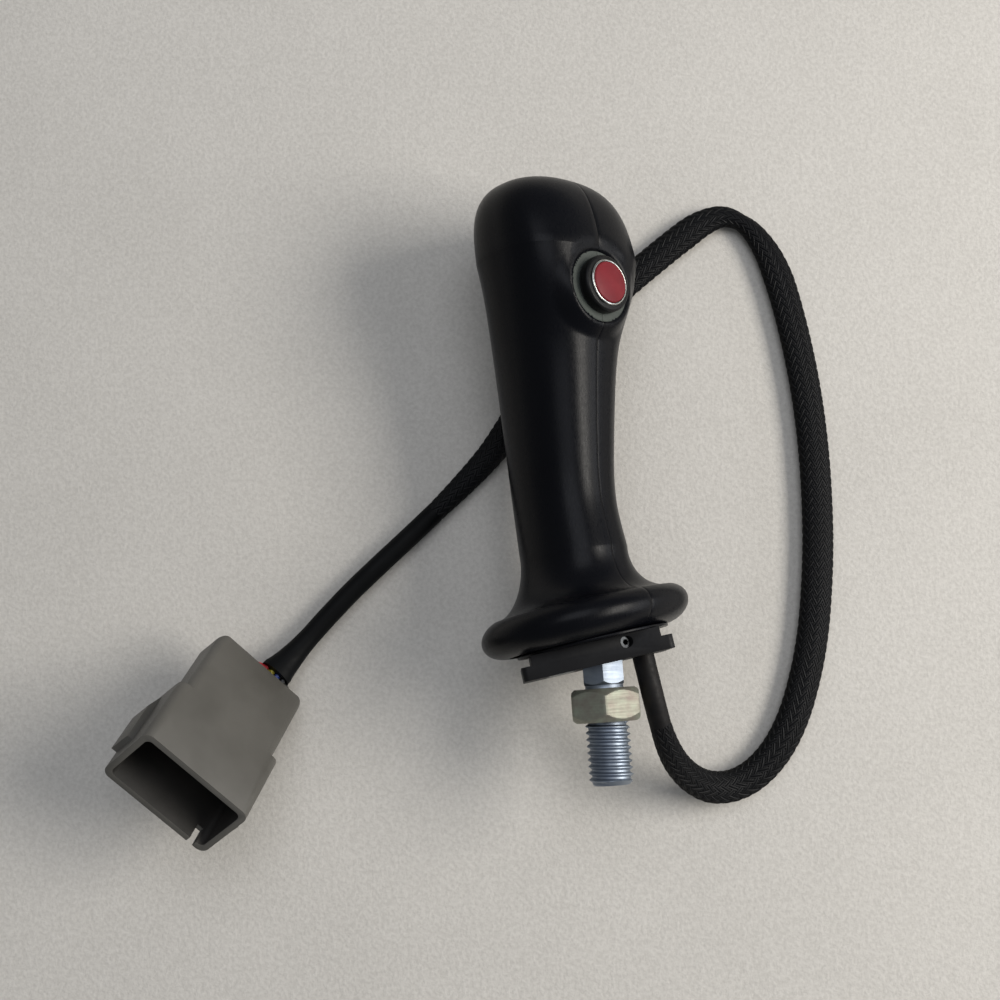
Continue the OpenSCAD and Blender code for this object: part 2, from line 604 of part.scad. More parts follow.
// The free lead's route, chosen by hand: across, up the bench, and height above the bench.
free_points = [[13.2, 6, 28.4], [14.8, -1.5, 25.6], [16.8, -7.8, 21.6], [19.7, -13.2, 16.8],
    [24.2, -17.8, 11.6], [30, -20.6, 7.2], [37, -20.6, 4.2], [44, -17.4, 3], [50.5, -11.2, 2.6],
    [56, -2.4, 2.6], [60.6, 9, 2.6], [63.8, 20, 2.6], [66.2, 32, 2.6], [68.2, 46, 2.6], [69.4, 60, 2.6],
    [70, 75, 2.6], [69.8, 90, 2.6], [68.8, 104, 2.6], [67.2, 117, 2.6], [65, 129, 2.6],
    [61.8, 138.6, 2.6], [57, 146, 2.6], [50.5, 149.6, 2.6], [43.5, 148, 2.6], [36, 143.4, 2.6],
    [27, 137, 2.6], [17, 129.5, 2.6], [7, 121, 2.6], [-3, 111, 2.6], [-11, 100.5, 2.6],
    [-18.6, 90, 2.6], [-26.4, 80.4, 2.6], [-35, 72, 2.8], [-44, 64, 3.2], [-53, 56.4, 3.4],
    [-61.5, 49.4, 3.4], [-69.5, 42.6, 3.4], [-76.8, 35.8, 3.5], [-83, 29.6, 4], [-88, 24.4, 5.4],
    [-91.6, 20.6, 7.6]];
wrap_end = 3;            // where the inlet wrap ends and the braid starts
braid_end = 35;          // where the braid ends and the receptacle's wrap starts
route = concat([lead_exit, lead_exit + 4 * [sin(base_slant), -cos(base_slant), 0]],
               [for (p = free_points) [p[0], p[1], bench + p[2]]]);
route_end = len(route) - 1;

wrap_d = 6;
braid_w = 9.4;
braid_t = 5.2;
tail_d = 6.6;
tail_flare = 9.6;
// The flat braid runs thinner over its first and last points and where it turns at the top.
function braid_size(i) = let (start = min(1, (i - wrap_end) / 4), stop = min(1, (braid_end - i) / 3),
        turn = max(0, 1 - abs(i - 24) / 3))
    [mix(6.2, braid_w, min(start, stop)) - 1.6 * turn, braid_t];
function tail_size(i) = let (t = (i - braid_end) / (route_end - braid_end), f = pow(max(0, t - 0.6) / 0.4, 1.5))
    [mix(tail_d, tail_flare, f), mix(tail_d - 0.6, tail_d, f)];

module inlet_shrink() color(black) tube(route, 0, wrap_end, [for (i = [0:wrap_end]) [wrap_d, wrap_d]], n = 12);
module loom_sleeve() color("#1d1f21") tube(route, wrap_end, braid_end,
    [for (i = [wrap_end:braid_end]) braid_size(i)]);
module connector_shrink() color(black) tube(route, braid_end, route_end,
    [for (i = [braid_end:route_end]) tail_size(i)], n = 12);

// ---------- receptacle ----------
conn_at = [-102, 18];    // middle of the rear face, across and up the bench
conn_yaw = -113;         // heading of the mouth
conn_pitch = 47;         // the stiff wrap holds the mouth up
conn_roll = -30.5;
conn_mid = (conn_h - conn_body_h) / 2;
rear_l = conn_l - mouth_depth;
body_half = conn_body_w / 2;
mouth_half = conn_mouth_w / 2;
edge_r = 2.5;
corner_r = 2.8;
shroud_l = mouth_depth + conn_wall;
// Height of a point of the receptacle over its own origin, once it is turned.
function lift(p) = sin(conn_pitch) * p[0]
    + cos(conn_pitch) * (sin(conn_roll) * p[1] + cos(conn_roll) * p[2]);
conn_corners = [[0.2, body_half - corner_r, conn_h / 2 - conn_body_h],
                [corner_r * 0.3, body_half - edge_r * 0.6, conn_h / 2 - conn_body_h + edge_r * 0.1],
                [conn_l - shroud_l, mouth_half, -conn_h / 2 + edge_r]];
conn_z = bench - min([for (p = conn_corners) lift(p)]);
module at_conn() translate([conn_at[0], conn_at[1], conn_z])
    rotate([0, 0, conn_yaw]) rotate([0, -conn_pitch, 0]) rotate([conn_roll, 0, 0]) children();

seal_plug_t = 5;         // thickness of the rear seal
wire_d = 1.7;
cavity_rows = 2;
row_gap = 5;
pins = [for (c = [0:pin_cols - 1], r = [0:cavity_rows - 1])
    [(c - (pin_cols - 1) / 2) * pin_pitch, conn_mid + (r - (cavity_rows - 1) / 2) * row_gap]];
seal_w = (pin_cols - 1) * 4.2 + 3;
// Cavities that hold a lead: red, yellow, blue and black. The others are plugged.
lead_pins = [5, 7, 9, 11];
plug_pins = [for (i = [0:len(pins) - 1]) if (len(search(i, lead_pins)) == 0) i];

// Rounded rectangle across the receptacle, w wide and h high.
module across(w, h, r) {
    square([w, h - 2 * r], center = true);
    square([w - 2 * r, h], center = true);
    for (x = [r - w / 2, w / 2 - r], y = [r - h / 2, h / 2 - r]) translate([x, y]) circle(r);
}
// Extrudes an outline along the receptacle: the outline's X is its width, its Y is its height.
module lengthwise(x, l) translate([x, 0, 0]) rotate([90, 0, 90]) linear_extrude(l) children();
module at_mid() translate([0, conn_mid]) children();
// Outline of the rear body seen from above, with its rounded rear corners.
module body_plan() {
    translate([corner_r, -body_half - 1]) square([rear_l, conn_body_w + 2]);
    translate([0, corner_r - body_half]) square([rear_l, conn_body_w - 2 * corner_r]);
    for (y = [-1, 1]) translate([corner_r, y * (body_half - corner_r)]) circle(corner_r);
}

// Side ear: a rail that catches the plug's latch, with a sloped rear end.
module ear(side) {
    x0 = conn_l - shroud_l + 1;
    y0 = side > 0 ? mouth_half - 1 : -mouth_half - ear_out;
    difference() {
        translate([x0, y0, 0.4 - ear_h]) cube([ear_l, ear_out + 1, ear_h]);
        translate([x0 + 5, side * (mouth_half + ear_out), -2 * ear_h]) rotate([0, 0, side * 18])
            translate([-12, side > 0 ? 0 : -10, 0]) cube([12, 10, 3 * ear_h]);
    }
}

module receptacle() color("#605e58") at_conn() difference() {
    union() {
        intersection() {
            lengthwise(0, rear_l + 0.5) at_mid() across(conn_body_w, conn_body_h, edge_r);
            translate([0, 0, -conn_h]) linear_extrude(2 * conn_h) body_plan();
        }
        lengthwise(conn_l - shroud_l, shroud_l) across(conn_mouth_w, conn_h, edge_r);
        for (side = [-1, 1]) ear(side);
    }
    lengthwise(rear_l, mouth_depth + 1)
        across(conn_mouth_w - 2 * conn_wall, conn_h - 2 * conn_wall, edge_r - conn_wall / 2);
    translate([conn_l, 0, -conn_h / 2]) rotate([0, -atan(lip_back / conn_h), 0])
        translate([0, -conn_mouth_w, -conn_h / 2]) cube([conn_h, 2 * conn_mouth_w, 2 * conn_h]);
    lengthwise(-1, seal_plug_t + 1) at_mid() across(seal_w, conn_body_h - 2 * conn_wall, 1.5);
    for (p = pins) translate([-1, p[0], p[1]]) rotate([0, 90, 0]) cylinder(r = wire_d / 2 + 0.25, h = conn_l);
    // polarising slot in the lower lip
    translate([conn_l - 5, mouth_half - 5.8, -conn_h]) cube([6, 2, conn_h]);
}

module rear_seal() color("#2b2c2c") at_conn() difference() {
    lengthwise(0.6, seal_plug_t - 0.6) at_mid() across(seal_w - 0.2, conn_body_h - 2 * conn_wall - 0.2, 1.4);
    for (p = pins) translate([-1, p[0], p[1]]) rotate([0, 90, 0]) cylinder(r = wire_d / 2 + 0.05, h = 20);
}

module contact_pins() color("#c8ccce") at_conn() for (p = pins) translate([seal_plug_t, p[0], p[1]])
    rotate([0, 90, 0]) {
        cylinder(r = wire_d / 2, h = rear_l - seal_plug_t);
        translate([0, 0, rear_l - seal_plug_t - EPS]) cylinder(d = pin_d, h = pin_l - pin_d / 2 + EPS);
        translate([0, 0, rear_l - seal_plug_t + pin_l - pin_d / 2]) cylinder(d1 = pin_d, d2 = pin_d / 2, h = pin_d / 2);
    }

// Wedge lock: the plate round the pins at the bottom of the mouth.
module wedge_lock() color("#d07a35") at_conn() difference() {
    lengthwise(rear_l + 0.05, 3) at_mid() across(pin_cols * pin_pitch + 1, row_gap + 3, 1.5);
    for (p = pins) translate([rear_l - 1, p[0], p[1]]) rotate([0, 90, 0]) cylinder(r = pin_d / 2 + 0.1, h = 6);
}

module sealing_plugs() color("#e9e7df") at_conn() for (i = plug_pins)
    translate([-1.2, pins[i][0], pins[i][1]]) rotate([0, 90, 0]) {
        cylinder(r = wire_d / 2, h = seal_plug_t + 1.1);
        cylinder(r = wire_d / 2 + 0.3, h = 1.2 + 0.55);
    }

// A lead runs from the wrap's open end into its cavity in the rear seal.
function conn_point(p) = let (a = conn_roll, b = conn_pitch, c = conn_yaw,
        y1 = p[1] * cos(a) - p[2] * sin(a), z1 = p[1] * sin(a) + p[2] * cos(a),
        x2 = p[0] * cos(b) - z1 * sin(b), z2 = p[0] * sin(b) + z1 * cos(b))
    [conn_at[0] + x2 * cos(c) - y1 * sin(c), conn_at[1] + x2 * sin(c) + y1 * cos(c), conn_z + z2];
module lead(k) {
    pin = pins[lead_pins[k]];
    tail = route[route_end];
    d = along(route, route_end);
    s = unit(cross(d, [0, 0, 1]));
    start = tail + s * (k - 1.5) * (wire_d + 0.3) * -1 + d * 0.05;
    a = conn_point([-2.4, pin[0], pin[1]]);
    b = conn_point([seal_plug_t - 0.1, pin[0], pin[1]]);
    path = [start, start + d * 1.6, mix(start + d * 1.6, a, 0.5), a, b];
    tube(path, 0, 4, [for (p = path) [wire_d, wire_d]], n = 8);
}
module lead_red() color("#b3232c") lead(0);
module lead_yellow() color("#b9a92f") lead(1);
module lead_blue() color("#25408f") lead(2);
module lead_black() color("#141414") lead(3);

grip_shell_left();
grip_shell_right();
shell_screws();
core_insert();
base_cover();
adapter_block();
block_screws();
set_screw();
stud();
lock_nut();
cable_bush();
button_housing();
button_seal();
button_bezel();
ring_nut();
button_cap();
button_plunger();
return_spring();
switch_body();
switch_terminals();
inner_cable();
inlet_shrink();
loom_sleeve();
connector_shrink();
lead_red();
lead_yellow();
lead_blue();
lead_black();
rear_seal();
receptacle();
contact_pins();
wedge_lock();
sealing_plugs();
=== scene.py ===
import math
import bpy
from mathutils import Matrix, Vector


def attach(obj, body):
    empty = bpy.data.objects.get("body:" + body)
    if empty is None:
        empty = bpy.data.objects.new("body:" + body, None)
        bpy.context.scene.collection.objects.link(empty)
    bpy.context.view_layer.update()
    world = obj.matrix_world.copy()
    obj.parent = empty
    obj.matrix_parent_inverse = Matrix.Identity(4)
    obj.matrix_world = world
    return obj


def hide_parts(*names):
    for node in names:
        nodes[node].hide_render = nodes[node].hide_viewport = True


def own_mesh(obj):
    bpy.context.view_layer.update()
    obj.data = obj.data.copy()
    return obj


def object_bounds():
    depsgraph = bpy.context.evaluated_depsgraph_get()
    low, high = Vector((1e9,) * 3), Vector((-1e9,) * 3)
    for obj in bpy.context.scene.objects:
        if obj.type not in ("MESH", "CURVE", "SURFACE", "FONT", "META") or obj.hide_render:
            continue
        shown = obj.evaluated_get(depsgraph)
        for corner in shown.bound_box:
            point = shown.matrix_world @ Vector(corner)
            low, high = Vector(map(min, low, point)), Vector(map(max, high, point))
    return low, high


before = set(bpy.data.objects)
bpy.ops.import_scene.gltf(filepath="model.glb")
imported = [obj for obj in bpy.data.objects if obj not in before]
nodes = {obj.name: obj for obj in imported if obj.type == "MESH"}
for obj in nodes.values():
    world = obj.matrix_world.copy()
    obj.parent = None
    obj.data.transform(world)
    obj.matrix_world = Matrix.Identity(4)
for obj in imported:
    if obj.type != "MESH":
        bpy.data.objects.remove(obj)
MM = 0.001
cad_low, cad_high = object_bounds()
bench = cad_low.z


# ---------------------------------------------------------------- small helpers

def deselect():
    if bpy.context.object and bpy.context.object.mode != "OBJECT":
        bpy.ops.object.mode_set(mode="OBJECT")
    bpy.ops.object.select_all(action="DESELECT")


def pick(obj):
    deselect()
    obj.select_set(True)
    bpy.context.view_layer.objects.active = obj
    return obj


def settle(obj):
    """Puts an object's place into its mesh, so that it sits at the origin, unturned."""
    pick(obj)
    bpy.ops.object.transform_apply(location=True, rotation=True, scale=True)
    return obj


def apply_modifiers(obj):
    pick(obj)
    for m in list(obj.modifiers):
        bpy.ops.object.modifier_apply(modifier=m.name)
    return obj


def copy_of(node, name):
    """A copy of a CAD solid, to be finished and to stand for it."""
    copy = bpy.data.objects.new(name, nodes[node].data.copy())
    bpy.context.scene.collection.objects.link(copy)
    return copy


def smooth(obj, angle=30):
    pick(obj)
    bpy.ops.object.shade_smooth_by_angle(angle=math.radians(angle))
    return obj


def linear(code):
    """An sRGB hex colour as linear RGBA."""
    values = [int(code[i:i + 2], 16) / 255 for i in (1, 3, 5)]
    return [v / 12.92 if v <= 0.04045 else ((v + 0.055) / 1.055) ** 2.4 for v in values] + [1.0]


def add(tree, kind, settings=None, inputs=None, links=None):
    """Adds a node: settings are its own properties, inputs its socket values, links its incoming sockets."""
    node = tree.nodes.new(kind)
    for key, value in (settings or {}).items():
        setattr(node, key, value)
    for key, value in (inputs or {}).items():
        node.inputs[key].default_value = value
    for key, source in (links or {}).items():
        tree.links.new(source, node.inputs[key])
    return node


def stops(ramp_node, *pairs):
    """Sets a colour ramp's stops from (position, hex colour) pairs."""
    ramp = ramp_node.color_ramp
    while len(ramp.elements) > len(pairs):
        ramp.elements.remove(ramp.elements[-1])
    while len(ramp.elements) < len(pairs):
        ramp.elements.new(0.5)
    for element, (place, code) in zip(ramp.elements, pairs):
        element.position = place
        element.color = linear(code)
    return ramp_node


def new_material(name, **shader):
    """An empty material with a Principled shader whose sockets take the given values."""
    material = bpy.data.materials.new(name)
    material.use_nodes = True
    tree = material.node_tree
    bsdf = tree.nodes["Principled BSDF"]
    for key, value in shader.items():
        bsdf.inputs[key.replace("_", " ")].default_value = value
    return material, tree, bsdf


def dress(obj, material, body="handle"):
    """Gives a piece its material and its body."""
    obj.data.materials.clear()
    obj.data.materials.append(material)
    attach(obj, body)
    return obj


# ---------------------------------------------------------------- camera, bench and light

def make_camera():
    """The camera stands above the bench, 9 degrees down from upright, and is turned by 4 degrees."""
    tilt, turn = math.radians(9), math.radians(4)
    target = Vector((-24.4, 61.9, 0)) * MM
    distance = 0.357
    back = Vector((0, -math.sin(tilt), math.cos(tilt)))
    up0 = Vector((0, math.cos(tilt), math.sin(tilt)))
    right0 = Vector((1, 0, 0))
    right = math.cos(turn) * right0 - math.sin(turn) * up0
    up = math.sin(turn) * right0 + math.cos(turn) * up0
    data = bpy.data.cameras.new("camera")
    data.lens = 46.8
    data.sensor_width = 36
    data.clip_start = 0.01
    camera = bpy.data.objects.new("camera", data)
    bpy.context.scene.collection.objects.link(camera)
    turned = Matrix((right, up, back)).transposed().to_4x4()
    camera.matrix_world = Matrix.Translation(target + back * distance) @ turned
    bpy.context.scene.camera = camera


def make_bench():
    """Pale felted paper on the bench: a warm grey with a soft, short-fibred unevenness."""
    deselect()
    bpy.ops.mesh.primitive_plane_add(size=6, location=(0, 0, bench - 0.0001))
    floor = settle(bpy.context.object)
    floor.name = "bench_paper"
    material, tree, bsdf = new_material("felted_paper", Roughness=0.9)
    place = add(tree, "ShaderNodeTexCoord")
    blotch = add(tree, "ShaderNodeTexNoise", inputs={"Scale": 22, "Detail": 3, "Roughness": 0.55},
                 links={"Vector": place.outputs["Object"]})
    # the nap's flecks are drawn about 1 mm across, coarser than real fibres
    flecks = add(tree, "ShaderNodeTexNoise", inputs={"Scale": 900, "Detail": 4, "Roughness": 0.65},
                 links={"Vector": place.outputs["Object"]})
    tone = stops(add(tree, "ShaderNodeValToRGB", links={"Fac": blotch.outputs["Fac"]}),
                 (0.3, "#c6c2bb"), (0.7, "#cecac3"))
    speck = stops(add(tree, "ShaderNodeValToRGB", links={"Fac": flecks.outputs["Fac"]}),
                  (0.36, "#bebbb5"), (0.64, "#dbd8d2"))
    mixed = add(tree, "ShaderNodeMix", {"data_type": "RGBA"}, {"Factor": 0.45},
                {"A": tone.outputs["Color"], "B": speck.outputs["Color"]})
    tree.links.new(mixed.outputs["Result"], bsdf.inputs["Base Color"])
    bump = add(tree, "ShaderNodeBump", inputs={"Strength": 0.5, "Distance": 0.0004},
               links={"Height": flecks.outputs["Fac"]})
    tree.links.new(bump.outputs["Normal"], bsdf.inputs["Normal"])
    floor.data.materials.append(material)


def area_light(name, place, aim, size, power, colour="#ffffff"):
    data = bpy.data.lights.new(name, "AREA")
    data.shape = "RECTANGLE"
    data.size, data.size_y = size
    data.energy = power
    data.color = linear(colour)[:3]
    lamp = bpy.data.objects.new(name, data)
    bpy.context.scene.collection.objects.link(lamp)
    place, aim = Vector(place), Vector(aim)
    lamp.matrix_world = Matrix.Translation(place) @ (aim - place).to_track_quat("-Z", "Y").to_matrix().to_4x4()


def make_light():
    world = bpy.data.worlds.new("room")
    bpy.context.scene.world = world
    world.use_nodes = True
    world.node_tree.nodes["Background"].inputs["Color"].default_value = linear("#dfe3e8")
    world.node_tree.nodes["Background"].inputs["Strength"].default_value = 0.3
    # a wide window to the right, a weak low strip beside the grip, and a fill from above
    area_light("window", (0.85, 0.05, 0.62), (0, 0.06, 0), (0.7, 0.36), 9.8, "#fffaf2")
    area_light("low_window", (0.9, 0.0, 0.2), (0, 0.05, 0), (0.8, 0.16), 1.5, "#f7faff")
    area_light("ceiling", (0.05, 0.5, 1.2), (-0.02, 0.06, 0), (0.9, 0.9), 4.8, "#f4f7ff")


make_camera()
make_bench()
make_light()
view_settings = bpy.context.scene.view_settings
view_settings.view_transform = "Standard"


# ---------------------------------------------------------------- the lead's route

HAND_POINTS = [(13.2, 6, 28.4), (14.8, -1.5, 25.6), (16.8, -7.8, 21.6), (19.7, -13.2, 16.8),
    (24.2, -17.8, 11.6), (30, -20.6, 7.2), (37, -20.6, 4.2), (44, -17.4, 3), (50.5, -11.2, 2.6),
    (56, -2.4, 2.6), (60.6, 9, 2.6), (63.8, 20, 2.6), (66.2, 32, 2.6), (68.2, 46, 2.6), (69.4, 60, 2.6),
    (70, 75, 2.6), (69.8, 90, 2.6), (68.8, 104, 2.6), (67.2, 117, 2.6), (65, 129, 2.6),
    (61.8, 138.6, 2.6), (57, 146, 2.6), (50.5, 149.6, 2.6), (43.5, 148, 2.6), (36, 143.4, 2.6),
    (27, 137, 2.6), (17, 129.5, 2.6), (7, 121, 2.6), (-3, 111, 2.6), (-11, 100.5, 2.6),
    (-18.6, 90, 2.6), (-26.4, 80.4, 2.6), (-35, 72, 2.8), (-44, 64, 3.2), (-53, 56.4, 3.4),
    (-61.5, 49.4, 3.4), (-69.5, 42.6, 3.4), (-76.8, 35.8, 3.5), (-83, 29.6, 4), (-88, 24.4, 5.4),
    (-91.6, 20.6, 7.6)]
SLANT = math.radians(9)
NUT_H, SHANK_FREE, COVER_T, NOTCH_H, TAB_T = 9, 6.2, 0.8, 2.6, 3.7
BASE = NUT_H + SHANK_FREE + (COVER_T + NOTCH_H + TAB_T) / math.cos(SLANT)
BLOCK_BOTTOM = -COVER_T - NOTCH_H - TAB_T
LEAD_AT = (10.4, 3)
REST = 32.07
WRAP_END, BRAID_END = 3, 35


def lead_point(w):
    u = LEAD_AT[0]
    return Vector((u * math.cos(SLANT) - w * math.sin(SLANT), BASE + u * math.sin(SLANT) + w * math.cos(SLANT),
                   -LEAD_AT[1]))


lead_exit = lead_point(BLOCK_BOTTOM)
route = [lead_exit, lead_exit + 4 * Vector((math.sin(SLANT), -math.cos(SLANT), 0))]
route += [Vector((x, y, h - REST)) for x, y, h in HAND_POINTS]


def curve_through(points, step):
    """A smooth curve through all the points, sampled about every step, with each sample's place in the list."""
    fine = []
    n = len(points)
    for i in range(n - 1):
        a, b, c, d = points[max(i - 1, 0)], points[i], points[i + 1], points[min(i + 2, n - 1)]
        count = max(2, round((c - b).length / step))
        for k in range(count):
            t = k / count
            p = 0.5 * (2 * b + (c - a) * t + (2 * a - 5 * b + 4 * c - d) * t * t
                       + (3 * b - a - 3 * c + d) * t * t * t)
            fine.append((p, i + t))
    fine.append((points[-1], float(n - 1)))
    return fine


def mix(a, b, t):
    return a + (b - a) * t


def braid_size(i):
    start = min(1, (i - WRAP_END) / 4)
    stop = min(1, (BRAID_END - i) / 3)
    turn = max(0, 1 - abs(i - 23.3) / 2.4) ** 1.3
    return mix(6.2, 9.4, min(start, stop)) - 4.1 * turn, 5.2


def tail_size(i):
    t = (i - BRAID_END) / (len(route) - 1 - BRAID_END)
    f = (max(0, t - 0.7) / 0.3) ** 1.5
    return mix(6.0, 9.6, f), mix(5.8, 6.6, f)


def frames_along(samples):
    """Place, sideways and upward directions for each sample, with the flat side kept level."""
    out = []
    for k, (p, i) in enumerate(samples):
        d = (samples[min(k + 1, len(samples) - 1)][0] - samples[max(k - 1, 0)][0]).normalized()
        side = d.cross(Vector((0, 0, 1))).normalized()
        out.append((p, side, side.cross(d), i))
    return out


def tube_mesh(name, places, size, around=24):
    """A closed tube along the places: rings bridged in order, with a UV map in millimetres."""
    verts, faces, uvs = [], [], []
    length = 0
    for k, (p, side, up, i) in enumerate(places):
        if k:
            length += (p - places[k - 1][0]).length
        w, t = size(i)
        for j in range(around):
            a = 2 * math.pi * j / around
            verts.append((p + side * math.cos(a) * w / 2 + up * math.sin(a) * t / 2) * MM)
            uvs.append((j / around * math.pi * (w + t) / 2, length))
    rings = len(places)
    for k in range(rings - 1):
        for j in range(around):
            a, b = k * around + j, k * around + (j + 1) % around
            faces.append((a, b, b + around, a + around))
    faces.append(tuple(range(around - 1, -1, -1)))
    faces.append(tuple(range((rings - 1) * around, rings * around)))
    mesh = bpy.data.meshes.new(name)
    mesh.from_pydata(verts, [], faces)
    layer = mesh.uv_layers.new(name="along")
    for loop in mesh.loops:
        layer.data[loop.index].uv = uvs[loop.vertex_index]
    obj = bpy.data.objects.new(name, mesh)
    bpy.context.scene.collection.objects.link(obj)
    return smooth(obj, 40)


fine_route = curve_through(route, 0.9)
lay_of = frames_along(fine_route)


def part_of(first, last):
    return [f for f in lay_of if first - 1e-6 <= f[3] <= last + 1e-6]


inlet_places = part_of(0, WRAP_END)
braid_places = part_of(WRAP_END, BRAID_END)
tail_places = part_of(BRAID_END, len(route) - 1)
last = tail_places[-1]
TAIL_OVER = 1.3          # how much of the bare leads the wrap's open end covers
onward = (last[0] - tail_places[-2][0]).normalized()
tail_places.append((last[0] + onward * TAIL_OVER, last[1], last[2], last[3]))

# ---------------------------------------------------------------- finishes

def grained(name, low, high, grain_mm, rough, bump_mm, stretch=(1, 1, 1), blotch_mm=14, **shader):
    """A moulded, cast or plated surface: two close tones in soft blotches and a fine grain in the relief."""
    material, tree, bsdf = new_material(name, **shader)
    place = add(tree, "ShaderNodeTexCoord")
    scaled = add(tree, "ShaderNodeMapping", inputs={"Scale": stretch}, links={"Vector": place.outputs["Object"]})
    blotch = add(tree, "ShaderNodeTexNoise", inputs={"Scale": 1000 / blotch_mm, "Detail": 3, "Roughness": 0.55},
                 links={"Vector": place.outputs["Object"]})
    grain = add(tree, "ShaderNodeTexNoise", inputs={"Scale": 1000 / grain_mm, "Detail": 2, "Roughness": 0.6},
                links={"Vector": scaled.outputs["Vector"]})
    tone = stops(add(tree, "ShaderNodeValToRGB", links={"Fac": blotch.outputs["Fac"]}), (0.32, low), (0.68, high))
    tree.links.new(tone.outputs["Color"], bsdf.inputs["Base Color"])
    sheen = add(tree, "ShaderNodeMapRange", inputs={"From Min": 0.3, "From Max": 0.7, "To Min": rough[0],
                "To Max": rough[1]}, links={"Value": grain.outputs["Fac"]})
    tree.links.new(sheen.outputs["Result"], bsdf.inputs["Roughness"])
    relief = add(tree, "ShaderNodeBump", inputs={"Strength": 1.0, "Distance": bump_mm * MM},
                 links={"Height": grain.outputs["Fac"]})
    tree.links.new(relief.outputs["Normal"], bsdf.inputs["Normal"])
    return material


def turned(name, low, high, ring_mm, rough, axis="Y", blotch_mm=5, bump_mm=0.006, **shader):
    """Machined metal: fine rings across the axis that the piece was turned on, and a cloudy plating."""
    material, tree, bsdf = new_material(name, Metallic=1.0, **shader)
    place = add(tree, "ShaderNodeTexCoord")
    long = {"X": (1, 0.04, 0.04), "Y": (0.04, 1, 0.04), "Z": (0.04, 0.04, 1)}[axis]
    scaled = add(tree, "ShaderNodeMapping", inputs={"Scale": long}, links={"Vector": place.outputs["Object"]})
    rings = add(tree, "ShaderNodeTexNoise", inputs={"Scale": 1000 / ring_mm, "Detail": 3, "Roughness": 0.65},
                links={"Vector": scaled.outputs["Vector"]})
    cloud = add(tree, "ShaderNodeTexNoise", inputs={"Scale": 1000 / blotch_mm, "Detail": 4, "Roughness": 0.6},
                links={"Vector": place.outputs["Object"]})
    tone = stops(add(tree, "ShaderNodeValToRGB", links={"Fac": cloud.outputs["Fac"]}), (0.3, low), (0.7, high))
    tree.links.new(tone.outputs["Color"], bsdf.inputs["Base Color"])
    sheen = add(tree, "ShaderNodeMapRange", inputs={"From Min": 0.25, "From Max": 0.75, "To Min": rough[0],
                "To Max": rough[1]}, links={"Value": rings.outputs["Fac"]})
    tree.links.new(sheen.outputs["Result"], bsdf.inputs["Roughness"])
    relief = add(tree, "ShaderNodeBump", inputs={"Strength": 1.0, "Distance": bump_mm * MM},
                 links={"Height": rings.outputs["Fac"]})
    tree.links.new(relief.outputs["Normal"], bsdf.inputs["Normal"])
    return material


# glass-filled nylon, moulded against a spark-eroded tool: blue-black, satin, with a fine lengthwise grain
grip_nylon = grained("moulded_nylon", "#040509", "#08090e", 0.4, (0.26, 0.38), 0.016, stretch=(1, 0.25, 1),
                     blotch_mm=30, Specular_IOR_Level=0.13)
# the same nylon where the tool was left rough under the button: duller, with a paler tone that is a painted sheen
seat_nylon_sheen = grained("rough_nylon_painted_sheen", "#343a36", "#404641", 0.5, (0.6, 0.72), 0.03, blotch_mm=8)
# die-cast and powder-coated adapter: near black, duller than the grip, a faint orange peel
adapter_coat = grained("powder_coated_zinc", "#101012", "#171718", 0.8, (0.46, 0.6), 0.02, blotch_mm=9,
                       Specular_IOR_Level=0.18)
# bright zinc-plated steel, turned: bluish, with fine rings that spread the highlight
stud_zinc = turned("bright_zinc_plate", "#7d8694", "#98a1ab", 0.35, (0.4, 0.58))
# passivated zinc on a hot-forged nut: warmer, cloudier and softer than the stud
nut_zinc = turned("passivated_zinc_plate", "#90877f", "#a4ab9b", 0.5, (0.56, 0.74), blotch_mm=4)
# plain zinc-plated screws, only seen in their recesses
screw_zinc = turned("zinc_plated_screws", "#a0a7aa", "#b4babd", 0.3, (0.3, 0.45))
# blackened alloy-steel grub screw: dark, with a hard glint on its rim
grub_steel = turned("black_oxide_steel", "#1d1e20", "#2c2e30", 0.3, (0.2, 0.3), axis="Z", blotch_mm=2)
# die-cast zinc core, as cast: pale and dull
cast_zinc = grained("as_cast_zinc", "#84898d", "#93989b", 0.7, (0.45, 0.6), 0.03, blotch_mm=6, Metallic=1.0)
# semi-gloss acetal of the button's collar and barrel
acetal = grained("moulded_acetal", "#060707", "#0a0b0c", 0.4, (0.36, 0.48), 0.006, blotch_mm=8,
                 Specular_IOR_Level=0.2)
# soft silicone seals: dull, with a faint bloom
silicone = grained("silicone_rubber", "#0e0f10", "#18191a", 0.6, (0.6, 0.75), 0.01, blotch_mm=5)
seal_silicone = grained("grey_silicone_seal", "#262727", "#303131", 0.6, (0.55, 0.7), 0.01, blotch_mm=5)
# chromed brass ring: bright grey, a little short of a mirror
chrome = turned("chromed_brass", "#b4b5b0", "#c6c7c2", 0.25, (0.12, 0.2), axis="Z", bump_mm=0.001)
# red polycarbonate cap: satin, slightly deeper where the plastic is thick
red_cap = grained("red_polycarbonate", "#6a1a22", "#762028", 0.5, (0.4, 0.5), 0.005, blotch_mm=6,
                  Specular_IOR_Level=0.2, Subsurface_Weight=0.06, Subsurface_Scale=0.002)
# natural acetal plunger and sealing plugs: ivory
ivory = grained("natural_acetal", "#d3d1c7", "#dedcd3", 0.5, (0.4, 0.5), 0.006)
# hard-drawn spring wire: bright, drawn lines along it
spring_wire = turned("drawn_spring_steel", "#b7bbbd", "#cfd3d5", 0.2, (0.2, 0.3))
switch_plastic = grained("switch_polyester", "#232527", "#2a2c2e", 0.4, (0.4, 0.5), 0.006)
brass = turned("stamped_brass", "#bd9640", "#cfab55", 0.3, (0.25, 0.38))
